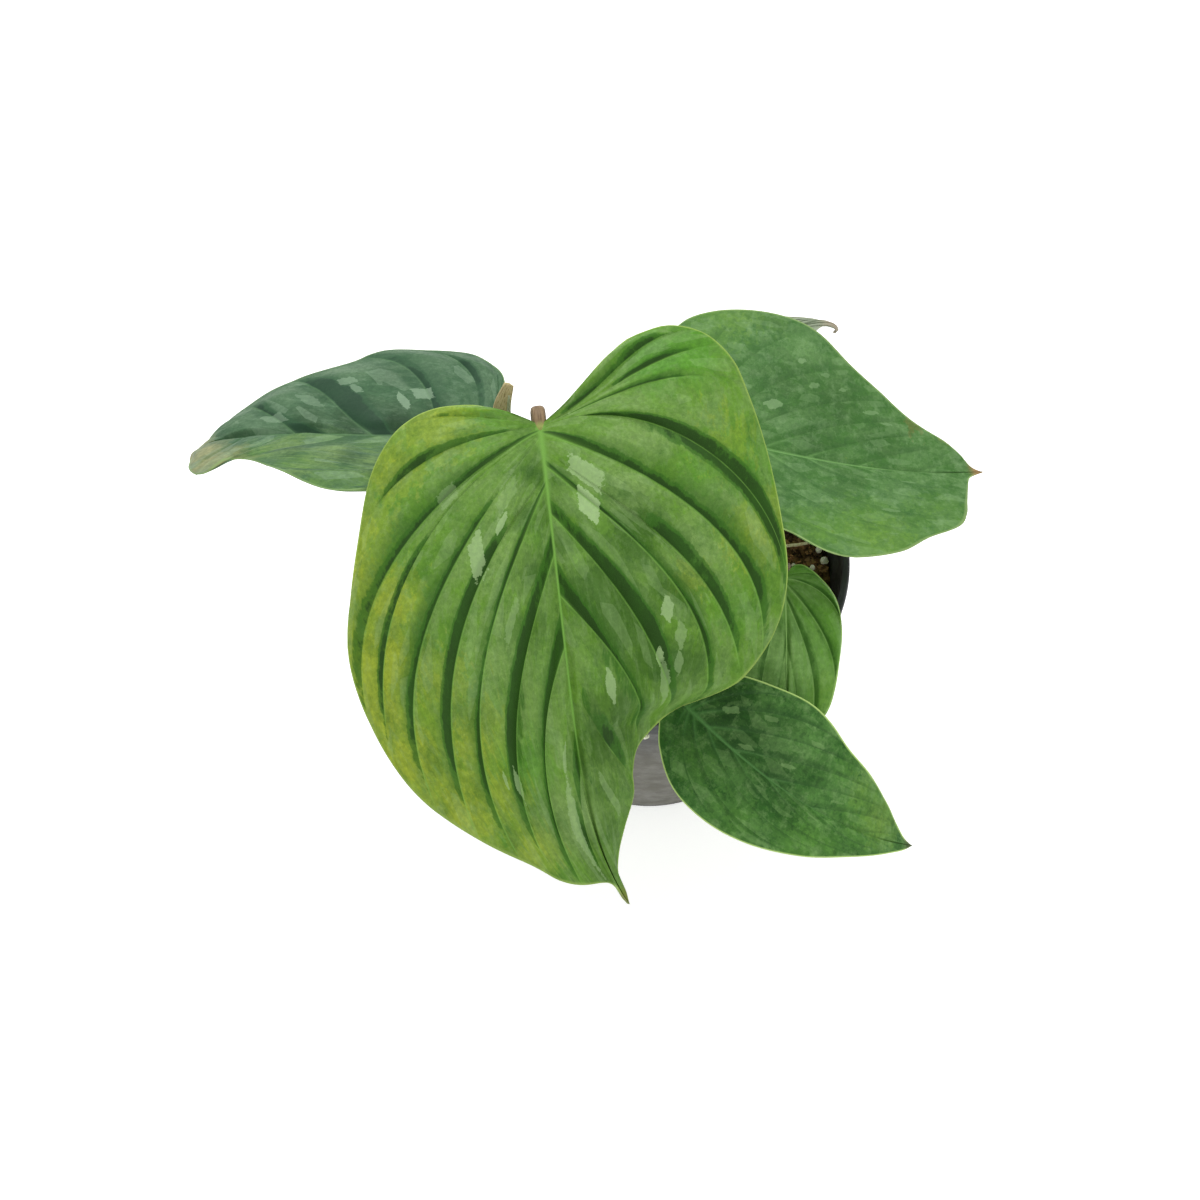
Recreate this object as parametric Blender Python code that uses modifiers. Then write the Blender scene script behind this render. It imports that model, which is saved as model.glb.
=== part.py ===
"""A potted philodendron: six pleated, heart-shaped leaves on a short stem in a nursery pot.

Metres, +Z up.  The origin is the middle of the pot's underside, on the surface it stands on.
A leaf blade is designed flat: "a" runs along the midrib from the joint to the tip, and "b"
runs across it, to the left when looking towards the tip.  The flat blade is then bent.
"""
from math import cos, pi, radians, sin

import bmesh
import bpy
import numpy as np
from mathutils import Vector
from mathutils.bvhtree import BVHTree

GAP = 0.0003

POT_HEIGHT = 0.130
POT_BASE_RADIUS = 0.054
POT_RIM_RADIUS = 0.075
POT_WALL = 0.0016
POT_FLOOR = 0.0024
LIP_HEIGHT = 0.009
LIP_OVERHANG = 0.0018
LIP_ROUND = 0.0012
POT_STEPS = 48
DRAIN_HOLES = 6
DRAIN_HOLE_RADIUS = 0.0045
DRAIN_CIRCLE = 0.040

SOIL_TOP = 0.112
SOIL_RINGS = 7
SOIL_ROUGHNESS = 0.0012
SOIL_CORNER = 0.0016

STEM_X = -0.004
STEM_Y = 0.008
STEM_RADIUS = 0.0078
STEM_DEPTH = 0.016
STEM_TOP = 0.141
STEM_ROUND = 0.004

BLADE_THICKNESS = 0.0008
RIB_THICKNESS = 0.0024
PETIOLE_RADIUS = 0.00235
PETIOLE_SEAT = 0.00075
PETIOLE_LEVEL_RUN = 0.008
PETIOLE_BOW = 0.3
TUBE_POINTS = 13

# Rods that are not petioles: their routes, and their radii at the two ends.
SHEATH_ROUTE = ((-0.0133, 0.0110, 0.1368), (-0.034, 0.011, 0.152), (-0.050, 0.013, 0.172),
                (-0.0568, 0.0155, 0.188), (-0.0568, 0.0182, 0.196), (-0.0540, 0.0212, 0.205))
SHEATH_RADII = (0.0027, 0.0014)
SPEAR_ROUTE = ((-0.0492, 0.0155, 0.176), (-0.0528, 0.0180, 0.185), (-0.0528, 0.0205, 0.194))
SPEAR_RADII = (0.0010, 0.0005)
ROOT_ROUTE = ((0.012, 0.002), (0.030, 0.008), (0.0526, 0.0118), (0.0624, 0.0137), (0.0665, 0.0150))
ROOT_RADII = (0.0009, 0.0006)

# Loose pieces on the soil: (x, y) and size in millimetres.
PERLITE = ((67.8, 4.7, 3.3), (62.7, 1.4, 2.2), (66.0, 9.9, 2.6), (55.5, 3.5, 1.8), (2.2, -64.6, 2.4),
           (-38, 44, 3.0), (20, 58, 2.6), (-58, -22, 3.2))
LIP_CRUMB = (-0.0053, 0.1235, 0.0026)
BARK_CHIPS = ((57.5, -4.5, 9.0, 35), (48, 20, 8.0, 110), (-30, -48, 10.0, 70), (-14, 52, 8.5, 15))

# Rows of a blade's grid: places between two veins, and steps from midrib to margin.
ROWS_PER_PANEL = 2
STEPS_ACROSS = 6

# Each vein leaves the midrib at START (a share of the blade's length) and meets the margin
# at END (a share of the margin's length, counted from the back of the lobe).  It bows away
# from its straight chord by BOW degrees at each end.  Row 0 is the edge of the notch and the
# last row is the tip.
USUAL_VEINS = {
    "start": (0.0, 0.004, 0.010, 0.020, 0.040, 0.10, 0.21, 0.36, 0.54, 0.76, 1.0),
    "end": (0.0, 0.08, 0.24, 0.44, 0.60, 0.72, 0.80, 0.86, 0.91, 0.955, 1.0),
    "bow": (12, 20, 30, 38, 32, 22, 17, 14, 12, 10, 8),
}
FRONT_LEFT_VEINS = {
    "start": (0.0, 0.002, 0.004, 0.010, 0.016, 0.026, 0.12, 0.25, 0.42, 0.60, 0.80, 1.0),
    "end": (0.0, 0.10, 0.20, 0.31, 0.54, 0.706, 0.804, 0.857, 0.902, 0.938, 0.969, 1.0),
    "bow": (0, 6, 16, 30, 50, 40, 20, 13, 12, 10, 8, 5),
}
FRONT_RIGHT_VEINS = {
    "start": (0.0, 0.002, 0.004, 0.010, 0.016, 0.026, 0.12, 0.25, 0.42, 0.60, 0.80, 1.0),
    "end": (0.0, 0.09, 0.226, 0.362, 0.617, 0.781, 0.891, 0.927, 0.945, 0.96, 0.975, 1.0),
    "bow": (0, 12, 22, 26, 27, 18, 18, 18, 16, 11, 5, 0),
}

# joint: where the petiole meets the blade.  heading: the midrib's compass direction at the
# joint, with turn added by the tip.  dip: how far the midrib points below level, at the
# joint and at the tip.  roll tips the blade about its midrib.  fold lifts each half, droop
# (1/m) bends it down, and tuck folds the left half under between two shares of the length.
# left and right: the margin's points (a, b) in millimetres, from the lobe's back to the tip.
LEAVES = {
    "front": {
        "joint": (-0.0424, -0.0014, 0.2120), "length": 0.166,
        "heading": -83, "turn": 38, "turn_power": 6,
        "dip": (14, 42), "dip_power": 1, "roll": (3, -2),
        "fold": ((6, 6), (6, 2)), "droop": ((4, 2), (4, 6)), "tuck": (0.56, 0.64, 32.5),
        "veins": (FRONT_LEFT_VEINS, FRONT_RIGHT_VEINS),
        "left": ((-16, 21), (-22, 28), (-26, 33.5), (-29, 39.5), (-30.5, 47), (-29, 55),
                 (-25, 62), (-17, 68), (-8, 71), (14, 75), (40, 77), (62, 76.4), (80, 69.5),
                 (95, 56.3), (105, 39.5), (114, 25), (123, 20.5), (133, 19), (143, 12.6),
                 (151, 6.4), (157, 2)),
        "right": ((-7, 15), (-9, 21), (-9.7, 28), (-9.5, 35), (-7, 43), (-1, 51), (12, 59),
                  (33, 65), (52, 70), (70, 73), (88, 70), (106, 62), (119, 52), (131, 38.5),
                  (142, 24), (151, 14), (157, 4)),
        "stem_angle": 196, "stem_height": 0.131, "rise": 0.030,
        "color": (0.13, 0.30, 0.05, 1.0),
    },
    "left": {
        "joint": (-0.0659, 0.0177, 0.1790), "length": 0.126,
        "heading": 181, "turn": -14, "turn_power": 1.5,
        "dip": (-2, 87), "dip_power": 3.5, "roll": (17, 17),
        "fold": ((15, 12), (12, 8)), "droop": ((2, 4), (6, 6)), "tuck": None,
        "veins": (USUAL_VEINS, USUAL_VEINS),
        "left": ((-11, 27), (-8, 35), (0, 42), (16, 45), (35, 43), (45, 42), (54, 37), (64, 29),
                 (76, 22), (88, 21), (100, 10), (118, 3.5)),
        "right": ((-9, 26), (-7, 35), (-1, 43), (12, 52), (28, 55), (40, 55), (52, 47), (64, 39),
                  (76, 31), (88, 26), (99, 11), (117, 3)),
        "stem_angle": 168, "stem_height": 0.1205, "rise": 0.022,
        "color": (0.06, 0.16, 0.08, 1.0),
    },
    "back_right": {
        "joint": (0.0151, 0.0248, 0.1720), "length": 0.116,
        "heading": -14, "turn": 30, "turn_power": 1.5,
        "dip": (4, 16), "dip_power": 1, "roll": (0, 0),
        "fold": ((10, 10), (12, 12)), "droop": ((4, 2), (2, 2)), "tuck": None,
        "veins": (USUAL_VEINS, USUAL_VEINS),
        "left": ((-20, 36), (-19, 44), (-13, 52), (-1, 59), (14, 62), (30, 61), (43, 56), (57, 44),
                 (72, 33), (86, 21), (97, 13), (106, 7)),
        "right": ((-15, 24), (-11, 33), (0, 40), (18, 44), (35, 44), (46, 45), (56, 46),
                  (68, 42), (82, 33), (93, 27), (98, 16), (102, 6), (110, 2)),
        "stem_angle": 42, "stem_height": 0.1315, "rise": 0.018,
        "color": (0.07, 0.20, 0.05, 1.0),
    },
    "lower_right": {
        "joint": (0.0079, -0.0749, 0.1460), "length": 0.110,
        "heading": -43, "turn": 56, "turn_power": 1.5,
        "dip": (12, 40), "dip_power": 1, "roll": (8, 6),
        "fold": ((14, 14), (10, 4)), "droop": ((6, 4), (6, 4)), "tuck": None,
        "veins": (USUAL_VEINS, USUAL_VEINS),
        "left": ((-3, 12), (6, 21.5), (20.5, 29), (35, 31), (49.5, 29.5), (65, 24.5), (78, 20.5),
                 (90.5, 14.5), (99, 6.5), (105, 2)),
        "right": ((-3, 10.5), (4, 18.5), (15.5, 24.5), (29, 26), (43, 22.5), (60, 17.5),
                  (76, 11.5), (91.5, 5), (101, 2)),
        "stem_angle": -92, "stem_height": 0.126, "rise": 0.016,
        "color": (0.04, 0.13, 0.04, 1.0),
    },
    "small": {
        "joint": (0.0460, -0.0236, 0.1500), "length": 0.064,
        "heading": -90, "turn": -2, "turn_power": 1.5,
        "dip": (14, 34), "dip_power": 1, "roll": (0, 0),
        "fold": ((8, 6), (8, 6)), "droop": ((10, 6), (10, 6)), "tuck": None,
        "veins": (USUAL_VEINS, USUAL_VEINS),
        "left": ((-4, 8), (2, 15), (12, 19), (24, 20), (36, 18.5), (48, 13), (57, 6)),
        "right": ((-4, 8), (2, 15), (12, 19), (24, 20), (36, 18.5), (48, 13), (57, 6)),
        "stem_angle": -38, "stem_height": 0.122, "rise": 0.012,
        "color": (0.08, 0.22, 0.05, 1.0),
    },
    "hidden_back": {
        "joint": (0.0140, 0.0695, 0.1500), "length": 0.072,
        "heading": 34, "turn": -28, "turn_power": 3,
        "dip": (0, 50), "dip_power": 5, "roll": (0, 0),
        "fold": ((10, 10), (10, 10)), "droop": ((4, 4), (4, 4)), "tuck": None,
        "veins": (USUAL_VEINS, USUAL_VEINS),
        "left": ((-5, 9), (1, 15), (11, 18), (24, 18), (36, 14), (48, 7), (60, 3), (68, 1.4)),
        "right": ((-5, 9), (1, 16), (11, 19), (24, 20), (36, 19), (47, 14), (60, 4), (68, 1.4)),
        "stem_angle": 76, "stem_height": 0.1215, "rise": 0.014,
        "color": (0.10, 0.17, 0.10, 1.0),
    },
}
SIDES = (("left", 1), ("right", -1))


def new_collection(name):
    collection = bpy.data.collections.new(name)
    bpy.context.scene.collection.children.link(collection)
    return collection


def clear_scene():
    for old in list(bpy.data.objects):
        bpy.data.objects.remove(old, do_unlink=True)


def material(name, color, roughness):
    made = bpy.data.materials.new(name)
    made.use_nodes = True
    shader = made.node_tree.nodes["Principled BSDF"]
    shader.inputs["Base Color"].default_value = color
    shader.inputs["Roughness"].default_value = roughness
    return made


def add_object(name, data, collection, finish):
    made = bpy.data.objects.new(name, data)
    collection.objects.link(made)
    data.materials.append(finish)
    return made


def turned(name, profile, steps, collection, finish):
    """A solid of revolution about Z: profile holds (radius, height) points."""
    mesh = bpy.data.meshes.new(name)
    points = [(radius, 0.0, height) for radius, height in profile]
    edges = [(index, index + 1) for index in range(len(points) - 1)]
    mesh.from_pydata(points, edges, [])
    made = add_object(name, mesh, collection, finish)
    screw = made.modifiers.new("turn", "SCREW")
    screw.steps = steps
    screw.render_steps = steps
    screw.use_merge_vertices = True
    screw.merge_threshold = 0.00005
    screw.use_smooth_shade = True
    return made


def applied(made):
    """Swap an object's mesh for its evaluated one, with the modifiers used up."""
    graph = bpy.context.evaluated_depsgraph_get()
    mesh = bpy.data.meshes.new_from_object(made.evaluated_get(graph))
    made.modifiers.clear()
    made.data = mesh
    return made


def cut(made, cutter):
    """Take the cutter's shape out of an object."""
    boolean = made.modifiers.new("cut", "BOOLEAN")
    boolean.operation = "DIFFERENCE"
    boolean.object = cutter
    cutter.hide_render = True
    cutter.display_type = "WIRE"


def wall_radius(height):
    """Outer radius of the pot's tapered wall."""
    shoulder = POT_HEIGHT - LIP_HEIGHT
    top_radius = POT_RIM_RADIUS - LIP_OVERHANG
    return POT_BASE_RADIUS + (top_radius - POT_BASE_RADIUS) * height / shoulder


def pot_profile():
    """From the middle of the floor up the inside, over the rolled lip and down the outside."""
    shoulder = POT_HEIGHT - LIP_HEIGHT
    inner_rim = wall_radius(shoulder) - POT_WALL
    points = [(0.0, POT_FLOOR), (wall_radius(POT_FLOOR) - POT_WALL - LIP_ROUND, POT_FLOOR)]
    points.append((wall_radius(POT_FLOOR + LIP_ROUND) - POT_WALL, POT_FLOOR + LIP_ROUND))
    points.append((inner_rim, shoulder))
    points.append((inner_rim + LIP_ROUND, POT_HEIGHT - LIP_ROUND * 0.4))
    for step in range(5):
        turn = pi / 2 * (1 - step / 4)
        points.append((POT_RIM_RADIUS - LIP_ROUND + LIP_ROUND * cos(turn),
                       POT_HEIGHT - LIP_ROUND + LIP_ROUND * sin(turn)))
    points.append((POT_RIM_RADIUS, shoulder + LIP_ROUND * 0.5))
    points.append((POT_RIM_RADIUS - LIP_ROUND * 0.5, shoulder))
    points.append((wall_radius(shoulder), shoulder - LIP_ROUND * 0.3))
    points.append((wall_radius(LIP_ROUND), LIP_ROUND))
    points.append((POT_BASE_RADIUS - LIP_ROUND, 0.0))
    points.append((0.0, 0.0))
    return points


def drain_cutter(collection, finish):
    """The cylinders that open the drain holes in the pot's floor."""
    form = bmesh.new()
    for hole in range(DRAIN_HOLES):
        turn = 2 * pi * (hole + 0.5) / DRAIN_HOLES
        made = bmesh.ops.create_cone(form, cap_ends=True, segments=16, radius1=DRAIN_HOLE_RADIUS,
                                     radius2=DRAIN_HOLE_RADIUS, depth=POT_FLOOR * 3)
        place = (DRAIN_CIRCLE * cos(turn), DRAIN_CIRCLE * sin(turn), POT_FLOOR / 2)
        bmesh.ops.translate(form, verts=made["verts"], vec=place)
    mesh = bpy.data.meshes.new("drain_cutter")
    form.to_mesh(mesh)
    form.free()
    return add_object("drain_cutter", mesh, collection, finish)


def make_pot(parts, cutters):
    """A tapered pot with a rolled lip and drain holes in its floor."""
    plastic = material("black_plastic", (0.03, 0.03, 0.032, 1.0), 0.45)
    pot = turned("pot", pot_profile(), POT_STEPS, parts, plastic)
    cut(pot, drain_cutter(cutters, plastic))


def soil_height(x, y):
    """Height of the soil's surface, with gentle lumps that fade at the pot's wall."""
    reach = np.hypot(x, y) / wall_radius(SOIL_TOP)
    fade = np.clip((0.97 - reach) / 0.2, 0.0, 1.0)
    lumps = np.sin(210 * x + 1.3) * np.cos(190 * y + 0.4) + 0.6 * np.sin(330 * x - 270 * y)
    return SOIL_TOP + SOIL_ROUGHNESS * lumps * fade


def make_soil(parts, cutters):
    """The potting mix: one block that fills the pot, with a socket for the stem."""
    peat = material("peat", (0.07, 0.045, 0.03, 1.0), 0.95)
    bottom = POT_FLOOR + GAP
    side_gap = POT_WALL + 1.5 * GAP
    outer = wall_radius(SOIL_TOP) - side_gap
    profile = [(outer * ring / SOIL_RINGS, SOIL_TOP) for ring in range(SOIL_RINGS + 1)]
    profile.append((wall_radius(bottom + SOIL_CORNER) - side_gap, bottom + SOIL_CORNER))
    profile.append((wall_radius(bottom) - side_gap - SOIL_CORNER, bottom))
    profile.append((0.0, bottom))
    soil = applied(turned("soil", profile, POT_STEPS, parts, peat))
    for vertex in soil.data.vertices:
        if vertex.co.z > SOIL_TOP - 0.0001:
            vertex.co.z = float(soil_height(vertex.co.x, vertex.co.y))
    bpy.ops.mesh.primitive_cylinder_add(vertices=20, radius=STEM_RADIUS + 2 * GAP,
                                        depth=2 * (STEM_DEPTH + GAP),
                                        location=(STEM_X, STEM_Y, SOIL_TOP))
    socket = bpy.context.object
    socket.name = "stem_socket_cutter"
    for holder in list(socket.users_collection):
        holder.objects.unlink(socket)
    cutters.objects.link(socket)
    cut(soil, socket)
    return soil


def make_stem(parts):
    """A short upright stem, rooted in the soil, with a rounded top."""
    bark = material("stem_bark", (0.20, 0.15, 0.06, 1.0), 0.7)
    profile = [(0.0, STEM_TOP)]
    for step in range(1, 6):
        turn = pi / 2 * (1 - step / 5)
        profile.append((STEM_RADIUS - STEM_ROUND + STEM_ROUND * cos(turn),
                        STEM_TOP - STEM_ROUND + STEM_ROUND * sin(turn)))
    profile.append((STEM_RADIUS, SOIL_TOP - STEM_DEPTH))
    profile.append((0.0, SOIL_TOP - STEM_DEPTH))
    stem = turned("stem", profile, 20, parts, bark)
    stem.location = (STEM_X, STEM_Y, 0.0)


def between(pair, share):
    return pair[0] + (pair[1] - pair[0]) * share


def smooth_step(share):
    share = np.clip(share, 0.0, 1.0)
    return share * share * (3 - 2 * share)


def smooth_curve(points, count):
    """Points evenly spaced along a Catmull-Rom curve through the given points."""
    points = np.array(points, float)
    padded = np.vstack([2 * points[0] - points[1], points, 2 * points[-1] - points[-2]])
    dense = []
    for index in range(len(points) - 1):
        p0, p1, p2, p3 = padded[index:index + 4]
        for t in np.linspace(0, 1, 16, endpoint=False):
            square = 2 * p0 - 5 * p1 + 4 * p2 - p3
            cube = 3 * p1 - p0 - 3 * p2 + p3
            dense.append(0.5 * (2 * p1 + (p2 - p0) * t + square * t * t + cube * t ** 3))
    dense.append(points[-1])
    dense = np.array(dense)
    run = np.concatenate([[0.0], np.cumsum(np.linalg.norm(np.diff(dense, axis=0), axis=1))])
    wanted = np.linspace(0, run[-1], count)
    columns = [np.interp(wanted, run, dense[:, axis]) for axis in range(dense.shape[1])]
    return np.stack(columns, axis=-1)


def along(values, at, places):
    """Read rows of values, known at the given places, at other places."""
    columns = [np.interp(at, places, values[:, axis]) for axis in range(values.shape[1])]
    return np.stack(columns, axis=-1)


def unit(vectors):
    return vectors / np.linalg.norm(vectors, axis=-1, keepdims=True)


def margin_curve(leaf, side_name, side):
    """The flat outline of one half, from the back of its lobe to the tip."""
    points = [(a / 1000, side * b / 1000) for a, b in leaf[side_name]]
    points.append((leaf["length"], 0.0))
    return smooth_curve(points, 300)


def vein_point(leaf, side_name, side, row, step):
    """Flat point (a, b) on vein number row, at the share step from midrib to margin."""
    veins = leaf["veins"][0 if side > 0 else 1]
    numbers = np.arange(len(veins["start"]))
    start = np.interp(row, numbers, veins["start"]) * leaf["length"]
    root = np.stack([start, np.zeros_like(start)], axis=-1)
    margin = margin_curve(leaf, side_name, side)
    places = np.linspace(0, 1, len(margin))
    end = along(margin, np.interp(row, numbers, veins["end"]), places)
    reach = np.linalg.norm(end - root, axis=-1, keepdims=True)
    chord = np.arctan2(side * (end - root)[..., 1], (end - root)[..., 0])
    bow = np.radians(np.interp(row, numbers, veins["bow"]))
    leaving = np.stack([np.cos(chord + bow), side * np.sin(chord + bow)], axis=-1)
    meeting = np.stack([np.cos(chord - bow), side * np.sin(chord - bow)], axis=-1)
    first = root + leaving * reach * 0.38
    second = end - meeting * reach * 0.38
    t = step[..., None]
    return ((1 - t) ** 3 * root + 3 * (1 - t) ** 2 * t * first
            + 3 * (1 - t) * t ** 2 * second + t ** 3 * end)


def midrib(leaf):
    """Places along the midrib, with its points and directions in space."""
    length = leaf["length"]
    places = np.linspace(-0.5 * length, 1.05 * length, 300)
    share = np.clip(places / length, 0, 1.05)
    heading = np.radians(leaf["heading"] + leaf["turn"] * share ** leaf["turn_power"])
    dip = np.radians(between(leaf["dip"], share ** leaf["dip_power"]))
    ahead = np.stack([np.cos(dip) * np.cos(heading), np.cos(dip) * np.sin(heading),
                      -np.sin(dip)], axis=-1)
    steps = (ahead[1:] + ahead[:-1]) / 2 * (places[1] - places[0])
    line = np.concatenate([np.zeros((1, 3)), np.cumsum(steps, axis=0)])
    return places, line - along(line, 0.0, places) + np.array(leaf["joint"]), ahead


def bent(leaf, a, b):
    """Where the flat point (a, b) lies in space once the blade is bent."""
    places, line, ahead = midrib(leaf)
    spine = along(line, a, places)
    forward = unit(along(ahead, a, places))
    share = np.clip(a / leaf["length"], 0, 1)
    level = unit(np.cross([0.0, 0.0, 1.0], forward))
    upward = np.cross(forward, level)
    roll = np.radians(between(leaf["roll"], share))[..., None]
    across = np.cos(roll) * level + np.sin(roll) * upward
    normal = np.cos(roll) * upward - np.sin(roll) * level
    left = b >= 0
    width = np.abs(b)
    fold = np.radians(np.where(left, between(leaf["fold"][0], share),
                               between(leaf["fold"][1], share)))
    if leaf["tuck"]:
        first, last, angle = leaf["tuck"]
        tuck = radians(angle) * smooth_step((a / leaf["length"] - first) / (last - first))
        fold = fold - np.where(left, tuck, 0.0)
    droop = np.where(left, between(leaf["droop"][0], share), between(leaf["droop"][1], share))
    sideways = (np.sin(fold) - np.sin(fold - droop * width)) / droop
    lift = (np.cos(fold - droop * width) - np.cos(fold)) / droop
    sideways = np.where(left, sideways, -sideways)
    return spine + sideways[..., None] * across + lift[..., None] * normal


def blade_half(form, leaf, side_name, side):
    """Add one half of a blade to the form as a grid of quads, facing up."""
    row_count = (len(leaf["veins"][0]["start"]) - 1) * ROWS_PER_PANEL + 1
    rows = np.linspace(0, len(leaf["veins"][0]["start"]) - 1, row_count)
    steps = np.linspace(0, 1, STEPS_ACROSS + 1)
    row_grid, step_grid = np.meshgrid(rows, steps, indexing="ij")
    flat = vein_point(leaf, side_name, side, row_grid, step_grid)
    flat[..., 1] = np.where(step_grid == 0, 0.0, flat[..., 1])
    space = bent(leaf, flat[..., 0], flat[..., 1])
    grid = [[form.verts.new(point) for point in line] for line in space]
    for row in range(row_count - 1):
        for step in range(STEPS_ACROSS):
            corners = [grid[row][step], grid[row + 1][step],
                       grid[row + 1][step + 1], grid[row][step + 1]]
            form.faces.new(corners if side < 0 else corners[::-1])
    return [line[0] for line in grid]


def make_blade(key, leaf, parts):
    """A blade: a bent sheet made solid, thicker below along its midrib."""
    form = bmesh.new()
    ribs = []
    for side_name, side in SIDES:
        ribs += [tuple(vertex.co) for vertex in blade_half(form, leaf, side_name, side)]
    bmesh.ops.remove_doubles(form, verts=form.verts, dist=0.00012)
    bmesh.ops.dissolve_degenerate(form, edges=form.edges, dist=0.00005)
    mesh = bpy.data.meshes.new(key)
    form.to_mesh(mesh)
    form.free()
    finish = material("leaf_" + key, leaf["color"], 0.45)
    blade = add_object("leaf_" + key, mesh, parts, finish)
    mesh.shade_smooth()
    add_rib(blade, ribs)


def add_rib(blade, ribs):
    """Give the sheet its thickness, thick along the midrib and thin elsewhere."""
    rib_points = np.array(ribs)
    group = blade.vertex_groups.new(name="midrib")
    for vertex in blade.data.vertices:
        away = np.linalg.norm(rib_points - np.array(vertex.co), axis=1).min()
        if away < 0.0001:
            group.add([vertex.index], 1.0, "REPLACE")
    solidify = blade.modifiers.new("thickness", "SOLIDIFY")
    solidify.thickness = RIB_THICKNESS
    solidify.offset = -1
    solidify.vertex_group = "midrib"
    solidify.thickness_vertex_group = BLADE_THICKNESS / RIB_THICKNESS


def tube(name, points, radii, parts, finish):
    """A tapered rod along a smooth route; radii holds its size at the two ends."""
    curve = bpy.data.curves.new(name, "CURVE")
    curve.dimensions = "3D"
    curve.bevel_depth = 1.0
    curve.bevel_resolution = 2
    curve.use_fill_caps = True
    line = smooth_curve(points, TUBE_POINTS)
    spline = curve.splines.new("POLY")
    spline.points.add(len(line) - 1)
    for index, point in enumerate(line):
        spline.points[index].co = (*point, 1.0)
        spline.points[index].radius = between(radii, index / (len(line) - 1))
    add_object(name, curve, parts, finish)


def make_petiole(key, leaf, parts):
    """A leaf stalk that leaves the stem level, rises, and bends over to the blade."""
    turn = radians(leaf["stem_angle"])
    outward = np.array([cos(turn), sin(turn), 0.0])
    axis = np.array([STEM_X, STEM_Y, leaf["stem_height"]])
    base = axis + outward * (STEM_RADIUS + PETIOLE_SEAT)
    heading = radians(leaf["heading"])
    dip = radians(leaf["dip"][0])
    forward = np.array([cos(dip) * cos(heading), cos(dip) * sin(heading), -sin(dip)])
    joint = np.array(leaf["joint"])
    end = joint - forward * PETIOLE_SEAT - np.array([0.0, 0.0, RIB_THICKNESS * 0.55])
    size = min(1.0, 0.55 + 0.45 * leaf["length"] / 0.15)
    knee = end - forward * 0.0035 * size - np.array([0.0, 0.0, 0.0012])
    below = knee - np.array([0.0, 0.0, leaf["rise"] * 0.35]) - forward * 0.0025
    near_stem = base + outward * PETIOLE_LEVEL_RUN
    middle = (near_stem + below) / 2 + outward * leaf["rise"] * PETIOLE_BOW
    finish = material("petiole_" + key, (0.30, 0.17, 0.09, 1.0), 0.6)
    route = [base, near_stem, middle, below, knee, end]
    radii = (PETIOLE_RADIUS * 1.25 * size, PETIOLE_RADIUS * size)
    tube("petiole_" + key, route, radii, parts, finish)


def lump(name, size, seed, parts, finish):
    """A small rounded crumb, made uneven by a fixed formula."""
    form = bmesh.new()
    bmesh.ops.create_icosphere(form, subdivisions=2, radius=size / 2)
    for vertex in form.verts:
        x, y, z = vertex.co * (3.1 / size)
        swell = 1 + 0.16 * sin(2.3 * x + seed) * cos(1.9 * y - seed) + 0.10 * sin(2.7 * z + 2 * seed)
        vertex.co *= swell
    mesh = bpy.data.meshes.new(name)
    form.to_mesh(mesh)
    form.free()
    mesh.shade_smooth()
    return add_object(name, mesh, parts, finish)


def ground_height(ground, x, y):
    """Height of the soil's mesh, or its usual level beyond its edge."""
    hit = ground.ray_cast(Vector((x, y, POT_HEIGHT)), Vector((0, 0, -1)))[0]
    return hit.z if hit else SOIL_TOP


def set_down(made, ground):
    """Lower a loose piece until it is just clear of the ground below it."""
    bpy.context.view_layer.update()
    corners = [vertex.co for vertex in made.data.vertices]
    samples = list(corners)
    for edge in made.data.edges:
        samples.append((corners[edge.vertices[0]] + corners[edge.vertices[1]]) / 2)
    samples += [face.center for face in made.data.polygons]
    drop = 1.0
    for sample in samples:
        point = made.matrix_world @ sample
        drop = min(drop, point.z - ground_height(ground, point.x, point.y))
    made.location.z -= drop - 1.2 * GAP


def make_crumbs(parts, ground):
    """Perlite crumbs on the soil, and one stuck to the pot's lip."""
    perlite = material("perlite", (0.80, 0.78, 0.72, 1.0), 0.9)
    for number, (x, y, size) in enumerate(PERLITE, 1):
        crumb = lump("perlite_%d" % number, size / 1000, number, parts, perlite)
        crumb.location = (x / 1000, y / 1000, SOIL_TOP + 0.01)
        set_down(crumb, ground)
    x, height, size = LIP_CRUMB
    crumb = lump("perlite_on_lip", size, 0.5, parts, perlite)
    reach = POT_RIM_RADIUS + size / 2 * 0.95 + GAP
    crumb.location = (x, -(reach ** 2 - x ** 2) ** 0.5, height)


def make_chips(parts, ground):
    """Bark chips that lie on the soil."""
    bark = material("bark", (0.16, 0.09, 0.05, 1.0), 0.9)
    for number, (x, y, length, turn) in enumerate(BARK_CHIPS, 1):
        bpy.ops.mesh.primitive_cube_add(size=1)
        chip = bpy.context.object
        chip.name = "bark_chip_%d" % number
        for vertex in chip.data.vertices:
            narrow = 0.7 if vertex.co.x * vertex.co.y > 0 else 1.0
            vertex.co.x *= length / 1000
            vertex.co.y *= length / 1000 * 0.5 * narrow
            vertex.co.z *= 0.0022 * narrow
        chip.rotation_euler = (0.05, 0.08, radians(turn))
        chip.location = (x / 1000, y / 1000, SOIL_TOP + 0.01)
        chip.data.materials.append(bark)
        for holder in list(chip.users_collection):
            holder.objects.unlink(chip)
        parts.objects.link(chip)
        edge = chip.modifiers.new("edge", "BEVEL")
        edge.width = 0.0005
        edge.segments = 1
        set_down(chip, ground)


def make_root(parts, ground):
    """A thin root that lies on the soil."""
    pale = material("root_skin", (0.55, 0.42, 0.25, 1.0), 0.8)
    route = []
    for x, y in smooth_curve(ROOT_ROUTE, 9):
        route.append((x, y, ground_height(ground, x, y) + ROOT_RADII[0] + 2 * GAP))
    tube("root", route, ROOT_RADII, parts, pale)


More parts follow.
